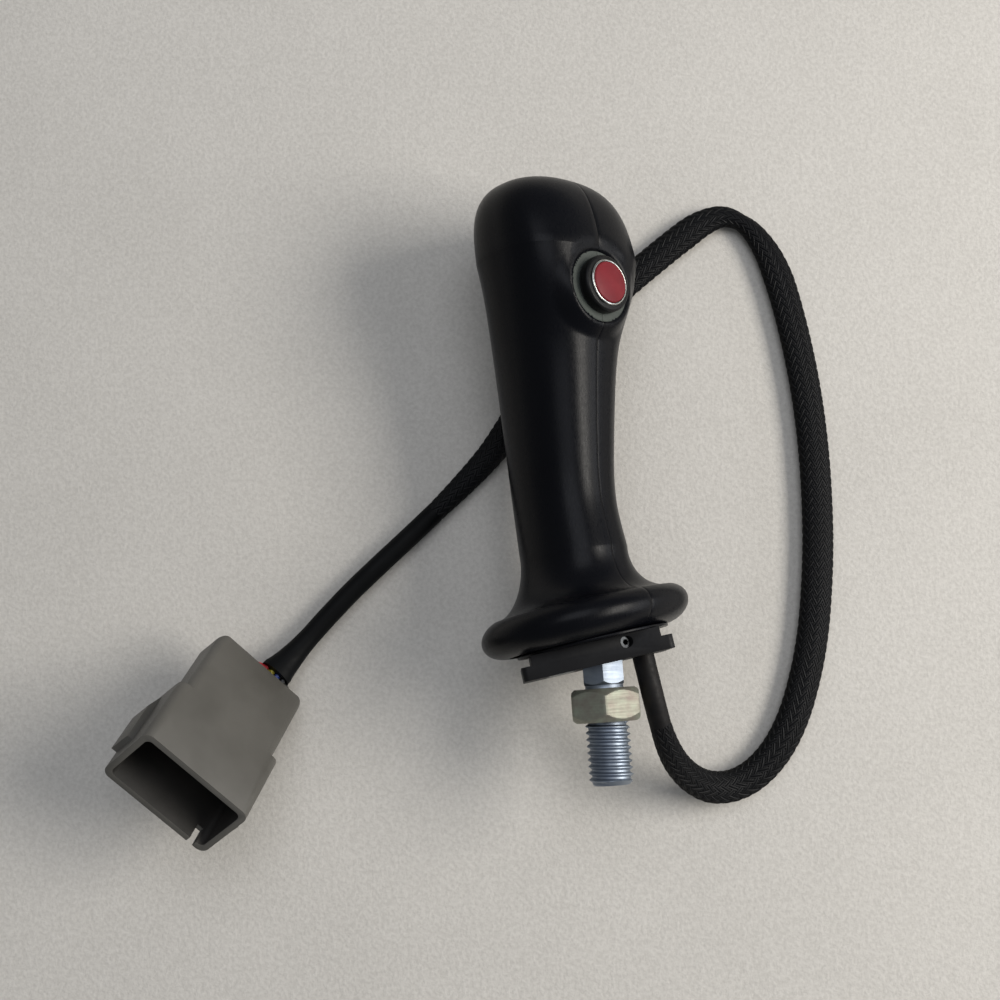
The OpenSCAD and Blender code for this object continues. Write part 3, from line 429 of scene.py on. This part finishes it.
# polyolefin shrink tubing: near black and smooth, with the faint ripple of the wires inside it
tubing = grained("polyolefin_tubing", "#090a0b", "#0f1011", 3.2, (0.44, 0.58), 0.05, blotch_mm=12,
                 Specular_IOR_Level=0.08)
# thinner shrink tubing on the inlet: black, with a brownish, mottled bloom
inlet_tubing = grained("thin_shrink_tubing", "#08080a", "#141110", 1.2, (0.5, 0.68), 0.04, blotch_mm=3,
                       Specular_IOR_Level=0.22)
# PVC-insulated leads
lead_colours = {"lead_red": ("#a8202a", "#b92a33"), "lead_yellow": ("#ac9d2b", "#bfb03a"),
                "lead_blue": ("#21398a", "#2a4798"), "lead_black": ("#121212", "#191919")}
# PBT receptacle: smooth mid grey with faint flow marks from the gate
pbt = grained("moulded_pbt", "#504e49", "#5b5954", 0.5, (0.42, 0.54), 0.008, blotch_mm=16,
              Specular_IOR_Level=0.4)
# the mouth's inside is painted nearly black on the same PBT: painted shade
pbt_mouth_shade = grained("pbt_painted_mouth_shade", "#22211f", "#2b2927", 0.5, (0.5, 0.62), 0.01, blotch_mm=8,
                    Specular_IOR_Level=0.3)
plated = turned("nickel_plated_contacts", "#bfc3c6", "#d3d7d9", 0.25, (0.15, 0.25), axis="Z")
wedge_nylon = grained("orange_nylon", "#c56f2d", "#d67d3b", 0.5, (0.4, 0.5), 0.008, blotch_mm=6)

for name, material in {
        "shell_screws": screw_zinc, "core_insert": cast_zinc, "block_screws": screw_zinc, "cable_bush": tubing,
        "button_seal": silicone, "ring_nut": screw_zinc, "button_plunger": ivory,
        "switch_body": switch_plastic, "switch_terminals": brass, "inner_cable": tubing,
        "rear_seal": seal_silicone, "contact_pins": plated, "wedge_lock": wedge_nylon,
        "sealing_plugs": ivory}.items():
    nodes[name].data.materials.clear()
    nodes[name].data.materials.append(material)
for name, (low_tone, high_tone) in lead_colours.items():
    nodes[name].data.materials.clear()
    nodes[name].data.materials.append(grained("pvc_" + name, low_tone, high_tone, 0.6, (0.3, 0.4), 0.006))


# ---------------------------------------------------------------- edges that a mould or a cutter leaves

FRONT = math.radians(40)  # how far round the button faces

def softened(node, width, material, segments=2, angle=28, smooth_at=35, body="handle"):
    """A copy of a solid with its sharp edges broken by the given width in millimetres; it stands for the solid."""
    copy = copy_of(node, node + "_finished")
    pick(copy)
    bpy.ops.object.mode_set(mode="EDIT")
    bpy.ops.mesh.select_all(action="SELECT")
    bpy.ops.mesh.remove_doubles(threshold=0.000002)
    bpy.ops.mesh.dissolve_limited(angle_limit=math.radians(1.5))
    bpy.ops.object.mode_set(mode="OBJECT")
    edge = copy.modifiers.new("edge", "BEVEL")
    edge.width = width * MM
    edge.segments = segments
    edge.limit_method = "ANGLE"
    edge.angle_limit = math.radians(angle)
    edge.use_clamp_overlap = True
    apply_modifiers(copy)
    smooth(copy, smooth_at)
    dress(copy, material, body)
    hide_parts(node)
    return copy


softened("adapter_block", 0.35, adapter_coat)
softened("base_cover", 0.2, grip_nylon)
softened("button_housing", 0.2, acetal)
softened("button_bezel", 0.08, chrome)
softened("button_cap", 0.12, red_cap, body="button")

# the nut's size across flats, its turn, its bore and its height
NUT_AF, NUT_TURN, NUT_BORE, NUT_TOP = 18, 26, 5.41, 8.9
# its shoulders: the round face's radius, their height, how steeply they fall, and how far the corners are blunted
NUT_FACE, NUT_SHOULDER, NUT_STEEP, NUT_BLUNT = 8.1, 2.2, 0.85, 0.12


def forged_nut():
    """The hexagon nut with its domed shoulders: a grid wrapped from the bore's foot round to the bore's top."""
    corner = NUT_AF / 2 / math.cos(math.radians(30))
    heights = [NUT_SHOULDER * (k / 12) ** 1.6 for k in range(13)]
    heights += [NUT_TOP - h for h in reversed(heights)]
    profile = [(NUT_BORE, 0.0)] + [(None, h) for h in heights] + [(NUT_BORE, NUT_TOP), (NUT_BORE, 0.0)]
    around = 144
    deselect()
    bpy.ops.mesh.primitive_grid_add(x_subdivisions=around, y_subdivisions=len(profile) - 1, size=2)
    nut = bpy.context.object
    nut.name = "forged_lock_nut"
    rows = round(len(nut.data.vertices) / (around + 1))
    for v in nut.data.vertices:
        a = math.pi * (v.co.x + 1)
        radius, h = profile[min(len(profile) - 1, round((v.co.y + 1) / 2 * (rows - 1)))]
        if radius is None:
            inward = min(1.0, min(h, NUT_TOP - h) / NUT_SHOULDER)
            shoulder = NUT_FACE + (corner - NUT_FACE) * inward ** NUT_STEEP
            from_flat = a % math.radians(60) - math.radians(30)
            flat = NUT_AF / 2 / math.cos(from_flat)
            radius = min(flat, shoulder, corner - NUT_BLUNT)
        a += math.radians(NUT_TURN)
        v.co = Vector((math.cos(a) * radius, h, -math.sin(a) * radius)) * MM
    pick(nut)
    bpy.ops.object.mode_set(mode="EDIT")
    bpy.ops.mesh.select_all(action="SELECT")
    bpy.ops.mesh.remove_doubles(threshold=0.000002)
    bpy.ops.mesh.normals_make_consistent(inside=False)
    bpy.ops.object.mode_set(mode="OBJECT")
    smooth(nut, 18)
    dress(nut, nut_zinc, "nut")
    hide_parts("lock_nut")


forged_nut()

SCREW_AXIS = Vector((0.433, 0.069, 0.899))
SCREW_REACH = 2.3        # how much nearer the block's face the screw's end lies than in the solid


def grub_screw():
    """The set screw, driven in only until its end lies just under the block's face."""
    screw = copy_of("set_screw", "grub_screw")
    spots = [v.co.dot(SCREW_AXIS) for v in screw.data.vertices]
    middle = (min(spots) + max(spots)) / 2
    for v, spot in zip(screw.data.vertices, spots):
        if spot > middle:
            v.co += SCREW_AXIS * SCREW_REACH * MM
    smooth(screw, 30)
    dress(screw, grub_steel)
    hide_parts("set_screw")


grub_screw()


def coil_spring():
    """The return spring, copied from the solid, with a mesh of its own."""
    spring = copy_of("return_spring", "coil_spring")
    smooth(spring, 40)
    dress(spring, spring_wire)
    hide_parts("return_spring")
    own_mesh(spring)


coil_spring()

housing = softened("receptacle", 0.3, pbt)

# the receptacle's own directions: out of its mouth, along its rows and across them
ALONG, WIDE, HIGH = Vector((-0.266, -0.628, 0.731)), Vector((0.648, -0.678, -0.346)), Vector((0.713, 0.382, 0.588))
MOUTH_HALF_W, MOUTH_HALF_H, MOUTH_DEPTH = 16.0, 8.4, 23


def dark_mouth(obj):
    """Gives the faces inside the connector's mouth a darker copy of the PBT: painted shade."""
    spots = [v.co / MM for v in obj.data.vertices]
    front = max(p.dot(ALONG) for p in spots)
    rim = [p for p in spots if p.dot(ALONG) > front - 1]
    y0 = (min(p.dot(WIDE) for p in rim) + max(p.dot(WIDE) for p in rim)) / 2
    z0 = (min(p.dot(HIGH) for p in rim) + max(p.dot(HIGH) for p in rim)) / 2
    obj.data.materials.append(pbt_mouth_shade)
    for face in obj.data.polygons:
        c = face.center / MM
        depth = front - c.dot(ALONG)
        # faces deep in the mouth, or facing across it, get the painted shade
        if 0.35 < depth < MOUTH_DEPTH and (depth > 8 or face.normal.dot(ALONG) < 0.5):
            if abs(c.dot(WIDE) - y0) < MOUTH_HALF_W and abs(c.dot(HIGH) - z0) < MOUTH_HALF_H:
                face.material_index = 1


dark_mouth(housing)


# ---------------------------------------------------------------- the grip's two moulded shells

WAIST_H, WAIST_W, WAIST_D, WAIST_BACK = 39, 25.8, 29.8, 10.2
FLANGE_W, FLANGE_D, FLANGE_T, FLANGE_ROLL, FLANGE_BACK = 59, 51, 11, 7, 5.2
FILLET_H, SHOULDER_H, SHOULDER_W, SHOULDER_D, SHOULDER_BACK = 24, 80, 32.4, 34.6, 9
HEAD_H, HEAD_W, HEAD_FRONT, HEAD_REAR, HEAD_BACK = 107, 44.8, 18, 18.4, 5.3
GRIP_H, CROWN_SLOPE, DOME_POWER, WALL = 131.8, 4.2, 3.3, 2.8
TOP_SCREW_H = 119.5
BUTTON_H, SEAT_OUT, SEAT_R, BORE_R = 95.6, 11, 10, 7.15
SLANT_DEG = math.degrees(SLANT)
SEAM = 0.05              # half of the fine gap that shows between the shells


def blend_rows(a, b, t):
    return [mix(u, v, t) for u, v in zip(a, b)]


# height, back, half width, half front, half rear, squareness, slant, slope
FILLET = [FILLET_H, mix(WAIST_BACK, FLANGE_BACK, 0.45), WAIST_W / 2 + 0.5, WAIST_D / 2 + 0.4, WAIST_D / 2 + 0.4,
          2.25, SLANT_DEG / 2, 0]
WAIST = [WAIST_H, WAIST_BACK, WAIST_W / 2, WAIST_D / 2, WAIST_D / 2, 2.3, 0, 0]
SHOULDER = [SHOULDER_H, SHOULDER_BACK, SHOULDER_W / 2, SHOULDER_D / 2, SHOULDER_D / 2, 2.4, 0, 0]
NEAR_BUTTON = [BUTTON_H + 1, HEAD_BACK + 0.6, HEAD_W / 2 - 2, HEAD_FRONT - 0.2, HEAD_REAR - 0.6, 2.7, 0,
               CROWN_SLOPE / 3]
HEAD = [HEAD_H, HEAD_BACK, HEAD_W / 2, HEAD_FRONT, HEAD_REAR, 2.9, 0, CROWN_SLOPE * 0.6]
BETWEEN = [a + b for a, b in zip(blend_rows(WAIST, SHOULDER, 0.42), (0, 0.5, -0.4, -0.3, -0.3, 0, 0, 0))]
CONTROLS = [FILLET, WAIST, BETWEEN, SHOULDER, NEAR_BUTTON, HEAD]


def rim_section(t):
    a = math.radians(-90 + 150 * t)
    pull = FLANGE_ROLL * (1 - math.cos(a))
    return [FLANGE_T / 2 * (1 + math.sin(a)), FLANGE_BACK, FLANGE_W / 2 - pull, FLANGE_D / 2 - pull,
            FLANGE_D / 2 - pull, 2.2, SLANT_DEG, 0]


def fillet_section(t):
    a = t * math.pi / 2
    top = rim_section(1)
    return [mix(top[k], FILLET[k], (1 - math.cos(a)) if k in (0, 6, 7) else math.sin(a)) for k in range(8)]


def body_section(t):
    place = t * (len(CONTROLS) - 1)
    i = min(int(place), len(CONTROLS) - 2)
    f = place - i
    a, b, c, d = (CONTROLS[max(i - 1, 0)], CONTROLS[i], CONTROLS[i + 1], CONTROLS[min(i + 2, len(CONTROLS) - 1)])
    return [0.5 * (2 * q + (r - p) * f + (2 * p - 5 * q + 4 * r - s) * f * f + (3 * q - p - 3 * r + s) * f ** 3)
            for p, q, r, s in zip(a, b, c, d)]


def dome_section(t):
    a = t * math.pi / 2
    c, s = max(math.cos(a), 1e-4) ** (2 / DOME_POWER), math.sin(a) ** (2 / DOME_POWER)
    return [mix(HEAD_H, GRIP_H, s), HEAD_BACK + 3.5 * s, HEAD_W / 2 * c, HEAD_FRONT * c, HEAD_REAR * c,
            2.9 - 0.6 * s, 0, mix(0.6, 1, s) * CROWN_SLOPE]


def grip_section(v):
    """The section at v from 0, under the flange, to 1, the crown."""
    for share, shape in ((0.13, rim_section), (0.13, fillet_section), (0.5, body_section), (0.24, dome_section)):
        if v <= share or shape is dome_section:
            return shape(min(1.0, v / share))
        v -= share


def on_section(s, side, a):
    """A point of the standing grip on section s: a runs from -90 at its rear to 90 at its front."""
    a = math.radians(a)
    ca, sa = max(math.cos(a), 0.0), math.sin(a)
    l = side * (s[2] * ca ** (2 / s[5]) if ca > 1e-6 else 0.0) + side * SEAM
    f0 = (s[3] if sa >= 0 else -s[4]) * abs(sa) ** (2 / s[5])
    f = f0 - s[1]
    x = l * math.cos(FRONT) + f * math.sin(FRONT)
    y = l * math.sin(FRONT) - f * math.cos(FRONT)
    return Vector((x, y, BASE + s[0] + x * math.tan(math.radians(s[6])) - f0 * math.tan(math.radians(s[7]))))


BUTTON_OUT = Vector((math.sin(FRONT), -math.cos(FRONT), 0))
BUTTON_SIDE = Vector((math.cos(FRONT), math.sin(FRONT), 0))
BUTTON_MID = Vector((0, 0, BASE + BUTTON_H))


def seat_shape(p):
    """Presses the round spot face for the button into the grip, with a soft raised rim round it."""
    d = p - BUTTON_MID
    out = d.dot(BUTTON_OUT)
    if out < 3:
        return p
    u, w = d.dot(BUTTON_SIDE), d.z
    r = math.hypot(u, w)
    if r > SEAT_R + 5 or r < 1e-6:
        return p
    if abs(r - BORE_R) < 0.4:
        u, w, r = u * BORE_R / r, w * BORE_R / r, BORE_R
    elif abs(r - SEAT_R) < 0.3:
        u, w, r = u * SEAT_R / r, w * SEAT_R / r, SEAT_R
    if r <= SEAT_R:
        out = SEAT_OUT
    else:
        t = (r - SEAT_R) / 5
        fade = t * t * (3 - 2 * t)
        lip = 0.55 * math.exp(-((r - SEAT_R - 1.1) / 0.8) ** 2)
        wall = min(1.0, (r - SEAT_R) / 0.7)
        raised = SEAT_OUT + 0.5 * wall
        out = mix(raised, out, max(fade, 0.0)) + lip * 0.35
    return BUTTON_MID + BUTTON_OUT * out + BUTTON_SIDE * u + Vector((0, 0, w))


SCREW_HOLES = [(FILLET_H + 6, -15), (SHOULDER_H - 6, -15), (TOP_SCREW_H, -12)]
SCREW_HOLE_R = 3 * 0.93 + 0.3


def screw_hole_shape(p):
    """Draws nearby points onto the rims of the screw holes in the right shell."""
    d = p - Vector((0, 0, BASE))
    f, l = d.dot(BUTTON_OUT), d.dot(BUTTON_SIDE)
    for h, at in SCREW_HOLES:
        u, w = f - at, d.z - h
        r = math.hypot(u, w)
        if l > 2 and abs(r - SCREW_HOLE_R) < 0.42 and r > 1e-6:
            k = SCREW_HOLE_R / r
            return Vector((0, 0, BASE + h + w * k)) + BUTTON_OUT * (at + u * k) + BUTTON_SIDE * l
    return p


def lay_down(p):
    return Vector((p.x, p.z, -p.y))


def grip_half(name, side):
    """Half of the grip: a flat grid wrapped round the sections, bored, thickened, and its edges broken."""
    deselect()
    bpy.ops.mesh.primitive_grid_add(x_subdivisions=110, y_subdivisions=300, size=2)
    half = bpy.context.object
    half.name = name
    mesh = half.data
    standing = []
    for v in mesh.vertices:
        a = -90 + 180 * (v.co.x + 1) / 2
        p = on_section(grip_section((v.co.y + 1) / 2), side, a)
        p = seat_shape(p)
        if side > 0:
            p = screw_hole_shape(p)
        standing.append(p)
        v.co = lay_down(p) * MM
    pick(half)
    bpy.ops.object.mode_set(mode="EDIT")
    bpy.ops.mesh.select_mode(type="FACE")
    bpy.ops.mesh.select_all(action="DESELECT")
    bpy.ops.object.mode_set(mode="OBJECT")
    for face in mesh.polygons:
        mid = sum((standing[i] for i in face.vertices), Vector()) / len(face.vertices)
        d = mid - BUTTON_MID
        drop = d.dot(BUTTON_OUT) > 5 and math.hypot(d.dot(BUTTON_SIDE), d.z) < BORE_R - 0.05
        if side > 0:
            e = mid - Vector((0, 0, BASE))
            drop = drop or (e.dot(BUTTON_SIDE) > 2 and any(
                math.hypot(e.dot(BUTTON_OUT) - at, e.z - h) < SCREW_HOLE_R - 0.05 for h, at in SCREW_HOLES))
        face.select = drop
    bpy.ops.object.mode_set(mode="EDIT")
    bpy.ops.mesh.delete(type="FACE")
    bpy.ops.mesh.select_all(action="SELECT")
    bpy.ops.mesh.remove_doubles(threshold=0.00002)
    bpy.ops.mesh.normals_make_consistent(inside=False)
    bpy.ops.object.mode_set(mode="OBJECT")
    skin = half.modifiers.new("wall", "SOLIDIFY")
    skin.thickness = WALL * MM
    skin.offset = -1
    skin.use_even_offset = False
    apply_modifiers(half)
    edge = half.modifiers.new("edge", "BEVEL")
    edge.width = 0.22 * MM
    edge.segments = 2
    edge.limit_method = "ANGLE"
    edge.angle_limit = math.radians(55)
    edge.use_clamp_overlap = True
    apply_modifiers(half)
    smooth(half, 40)
    dress(half, grip_nylon)
    # the button's seat faces get the rough nylon, whose paler tone is a painted sheen
    half.data.materials.append(seat_nylon_sheen)
    for face in half.data.polygons:
        c = face.center / MM
        d = Vector((c.x, -c.z, c.y)) - BUTTON_MID
        if abs(d.dot(BUTTON_OUT) - SEAT_OUT) < 0.05 and math.hypot(d.dot(BUTTON_SIDE), d.z) < SEAT_R + 0.1:
            face.material_index = 1
    return half


left_half = grip_half("moulded_shell_left", -1)
right_half = grip_half("moulded_shell_right", 1)
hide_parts("grip_shell_left")
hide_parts("grip_shell_right")


# ---------------------------------------------------------------- threaded stud

THREAD_R, THREAD_PITCH, THREAD_FREE, TIP = 5.9, 1.75, 16.5, 1.2
THREAD_DEPTH = 0.8


def threaded_stud():
    """The stud's shank, copied and cut at the nut's face, with a cut M12 x 1.75 thread grown from there."""
    shank = copy_of("stud", "stud_shank")
    pick(shank)
    bpy.ops.object.mode_set(mode="EDIT")
    bpy.ops.mesh.select_all(action="SELECT")
    bpy.ops.mesh.remove_doubles(threshold=0.000002)
    bpy.ops.mesh.dissolve_limited(angle_limit=math.radians(1.5))
    bpy.ops.mesh.select_all(action="SELECT")
    bpy.ops.mesh.bisect(plane_co=(0, 0.00005, 0), plane_no=(0, 1, 0), clear_inner=True, use_fill=True)
    bpy.ops.object.mode_set(mode="OBJECT")
    edge = shank.modifiers.new("edge", "BEVEL")
    edge.width = 0.15 * MM
    edge.segments = 2
    edge.limit_method = "ANGLE"
    edge.angle_limit = math.radians(25)
    apply_modifiers(shank)
    # the grid's rows follow the helix, one row for each corner of the thread's profile
    corners = [(0.0, 0.0), (0.06, 0.02), (0.36, 1.0), (0.62, 1.0), (0.92, 0.02)]
    rows = []
    turn = -2
    while turn * THREAD_PITCH < THREAD_FREE + 2 * THREAD_PITCH:
        rows += [((turn + place) * THREAD_PITCH, depth * THREAD_DEPTH) for place, depth in corners]
        turn += 1
    around = 96
    deselect()
    bpy.ops.mesh.primitive_grid_add(x_subdivisions=around, y_subdivisions=len(rows) - 1, size=2)
    thread = bpy.context.object
    thread.name = "threaded_stud"
    count = round((len(thread.data.vertices)) / (around + 1))
    for v in thread.data.vertices:
        t = (v.co.x + 1) / 2
        k = min(len(rows) - 1, round((v.co.y + 1) / 2 * (count - 1)))
        z, depth = rows[k]
        z -= t * THREAD_PITCH
        y = min(max(z, 0.0), THREAD_FREE)
        radius = THREAD_R - depth
        if z <= 0 or z >= THREAD_FREE:
            radius = min(radius, THREAD_R - 0.9)
        radius = min(radius, THREAD_R - max(0, y - (THREAD_FREE - TIP)) * 0.95)
        a = 2 * math.pi * t
        v.co = Vector((math.cos(a) * radius, -y, math.sin(a) * radius)) * MM
    pick(thread)
    bpy.ops.object.mode_set(mode="EDIT")
    bpy.ops.mesh.select_mode(type="VERT")
    bpy.ops.mesh.select_all(action="SELECT")
    bpy.ops.mesh.remove_doubles(threshold=0.00001)
    bpy.ops.mesh.select_all(action="DESELECT")
    bpy.ops.mesh.select_non_manifold()
    bpy.ops.mesh.edge_face_add()
    bpy.ops.mesh.select_all(action="SELECT")
    bpy.ops.mesh.normals_make_consistent(inside=False)
    bpy.ops.object.mode_set(mode="OBJECT")
    smooth(thread, 35)
    smooth(shank, 30)
    dress(thread, stud_zinc)
    dress(shank, stud_zinc)
    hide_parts("stud")
    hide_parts("stud")


threaded_stud()


# ---------------------------------------------------------------- the lead

# polyester monofilament, braided flat: near black, with a faint sheen on each filament, partly from its smoother
# crown and partly painted paler there
braid_strand, tree, bsdf = new_material("polyester_monofilament", Specular_IOR_Level=0.16)
along = add(tree, "ShaderNodeUVMap", {"uv_map": "along"})
split = add(tree, "ShaderNodeSeparateXYZ", links={"Vector": along.outputs["UV"]})
# two filaments of 0.6 mm lie side by side in each strand
ridge = add(tree, "ShaderNodeMath", {"operation": "MULTIPLY"}, {1: math.pi / 0.63}, {0: split.outputs["X"]})
wave = add(tree, "ShaderNodeMath", {"operation": "SINE"}, links={0: ridge.outputs["Value"]})
round_top = add(tree, "ShaderNodeMath", {"operation": "ABSOLUTE"}, links={0: wave.outputs["Value"]})
# each filament is painted paler on its crown and darker in the grooves between: painted sheen and painted shade
tone = stops(add(tree, "ShaderNodeValToRGB", links={"Fac": round_top.outputs["Value"]}),
             (0.1, "#040405"), (0.8, "#0c0d0f"))
tree.links.new(tone.outputs["Color"], bsdf.inputs["Base Color"])
sheen = add(tree, "ShaderNodeMapRange", inputs={"To Min": 0.7, "To Max": 0.42},
            links={"Value": round_top.outputs["Value"]})
tree.links.new(sheen.outputs["Result"], bsdf.inputs["Roughness"])
relief = add(tree, "ShaderNodeBump", inputs={"Strength": 0.9, "Distance": 0.00018},
             links={"Height": round_top.outputs["Value"]})
tree.links.new(relief.outputs["Normal"], bsdf.inputs["Normal"])

CARRIERS, BRAID_PITCH, STRAND_W, LIFT = 14, 38.0, 1.34, 0.11


def even_turn(w, t, steps=72):
    """Angles of an ellipse at equal steps of its perimeter, from 0 to a whole turn."""
    lengths, total = [0.0], 0.0
    for k in range(steps):
        a, b = 2 * math.pi * k / steps, 2 * math.pi * (k + 1) / steps
        total += math.hypot((math.cos(b) - math.cos(a)) * w / 2, (math.sin(b) - math.sin(a)) * t / 2)
        lengths.append(total)
    return [x / total for x in lengths], total


def angle_at(share, table):
    share %= 1.0
    steps = len(table) - 1
    low, high = 0, steps
    while high - low > 1:
        middle = (low + high) // 2
        low, high = (middle, high) if table[middle] <= share else (low, middle)
    f = (share - table[low]) / max(1e-9, table[high] - table[low])
    return 2 * math.pi * (low + f) / steps


def braided_sleeve(places, size):
    """Fourteen strands each way, woven two over and two under, over a dark core."""
    runs = [0.0]
    for a, b in zip(places, places[1:]):
        runs.append(runs[-1] + (b[0] - a[0]).length)
    total = runs[-1]
    step = BRAID_PITCH / (2 * CARRIERS) / 3.5
    count = int(total / step)
    stations = []
    k = 0
    for n in range(count + 1):
        v = total * n / count
        while k < len(runs) - 2 and runs[k + 1] < v:
            k += 1
        f = (v - runs[k]) / (runs[k + 1] - runs[k])
        a, b = places[k], places[k + 1]
        p, side, up = a[0].lerp(b[0], f), a[1].lerp(b[1], f).normalized(), a[2].lerp(b[2], f).normalized()
        w, t = size(mix(a[3], b[3], f))
        table, perimeter = even_turn(w - 2 * LIFT - 0.5, t - 2 * LIFT - 0.5)
        stations.append((v, p, side, up, w - 2 * LIFT - 0.5, t - 2 * LIFT - 0.5, table, perimeter))
    verts, faces, uvs = [], [], []
    across = (-1.0, -0.45, 0.45, 1.0)
    crown = (0.0, 0.15, 0.15, 0.0)
    for way in (1, -1):
        for i in range(CARRIERS):
            first = len(verts)
            for v, p, side, up, w, t, table, perimeter in stations:
                share = i / CARRIERS + way * v / BRAID_PITCH
                beat = 2 * i + way * 2 * CARRIERS * v / BRAID_PITCH
                height = way * LIFT * math.cos(math.pi / 2 * beat - math.pi / 4)
                for q, c in zip(across, crown):
                    a = angle_at(share + q * STRAND_W / 2 / perimeter, table)
                    point = p + side * math.cos(a) * w / 2 + up * math.sin(a) * t / 2
                    out = (side * math.cos(a) / w + up * math.sin(a) / t).normalized()
                    verts.append((point + out * (height + c)) * MM)
                    uvs.append((q * STRAND_W / 2, v))
            for n in range(len(stations) - 1):
                for j in range(3):
                    a = first + n * 4 + j
                    quad = (a, a + 1, a + 5, a + 4)
                    faces.append(quad)
    mesh = bpy.data.meshes.new("braided_lead")
    mesh.from_pydata(verts, [], faces)
    layer = mesh.uv_layers.new(name="along")
    for loop in mesh.loops:
        layer.data[loop.index].uv = uvs[loop.vertex_index]
    obj = bpy.data.objects.new("braided_lead", mesh)
    bpy.context.scene.collection.objects.link(obj)
    return smooth(obj, 60)


inlet = tube_mesh("inlet_wrap", inlet_places, lambda i: (6.0, 6.0))
braid = braided_sleeve(braid_places, braid_size)
core = tube_mesh("lead_core", braid_places, lambda i: tuple(x - 0.9 for x in braid_size(i)))
tail = tube_mesh("tail_wrap", tail_places, tail_size, around=40)
dress(inlet, inlet_tubing)
dress(braid, braid_strand)
dress(core, tubing)
dress(tail, tubing)
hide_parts("inlet_shrink")
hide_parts("loom_sleeve")
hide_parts("loom_sleeve")
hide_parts("connector_shrink")
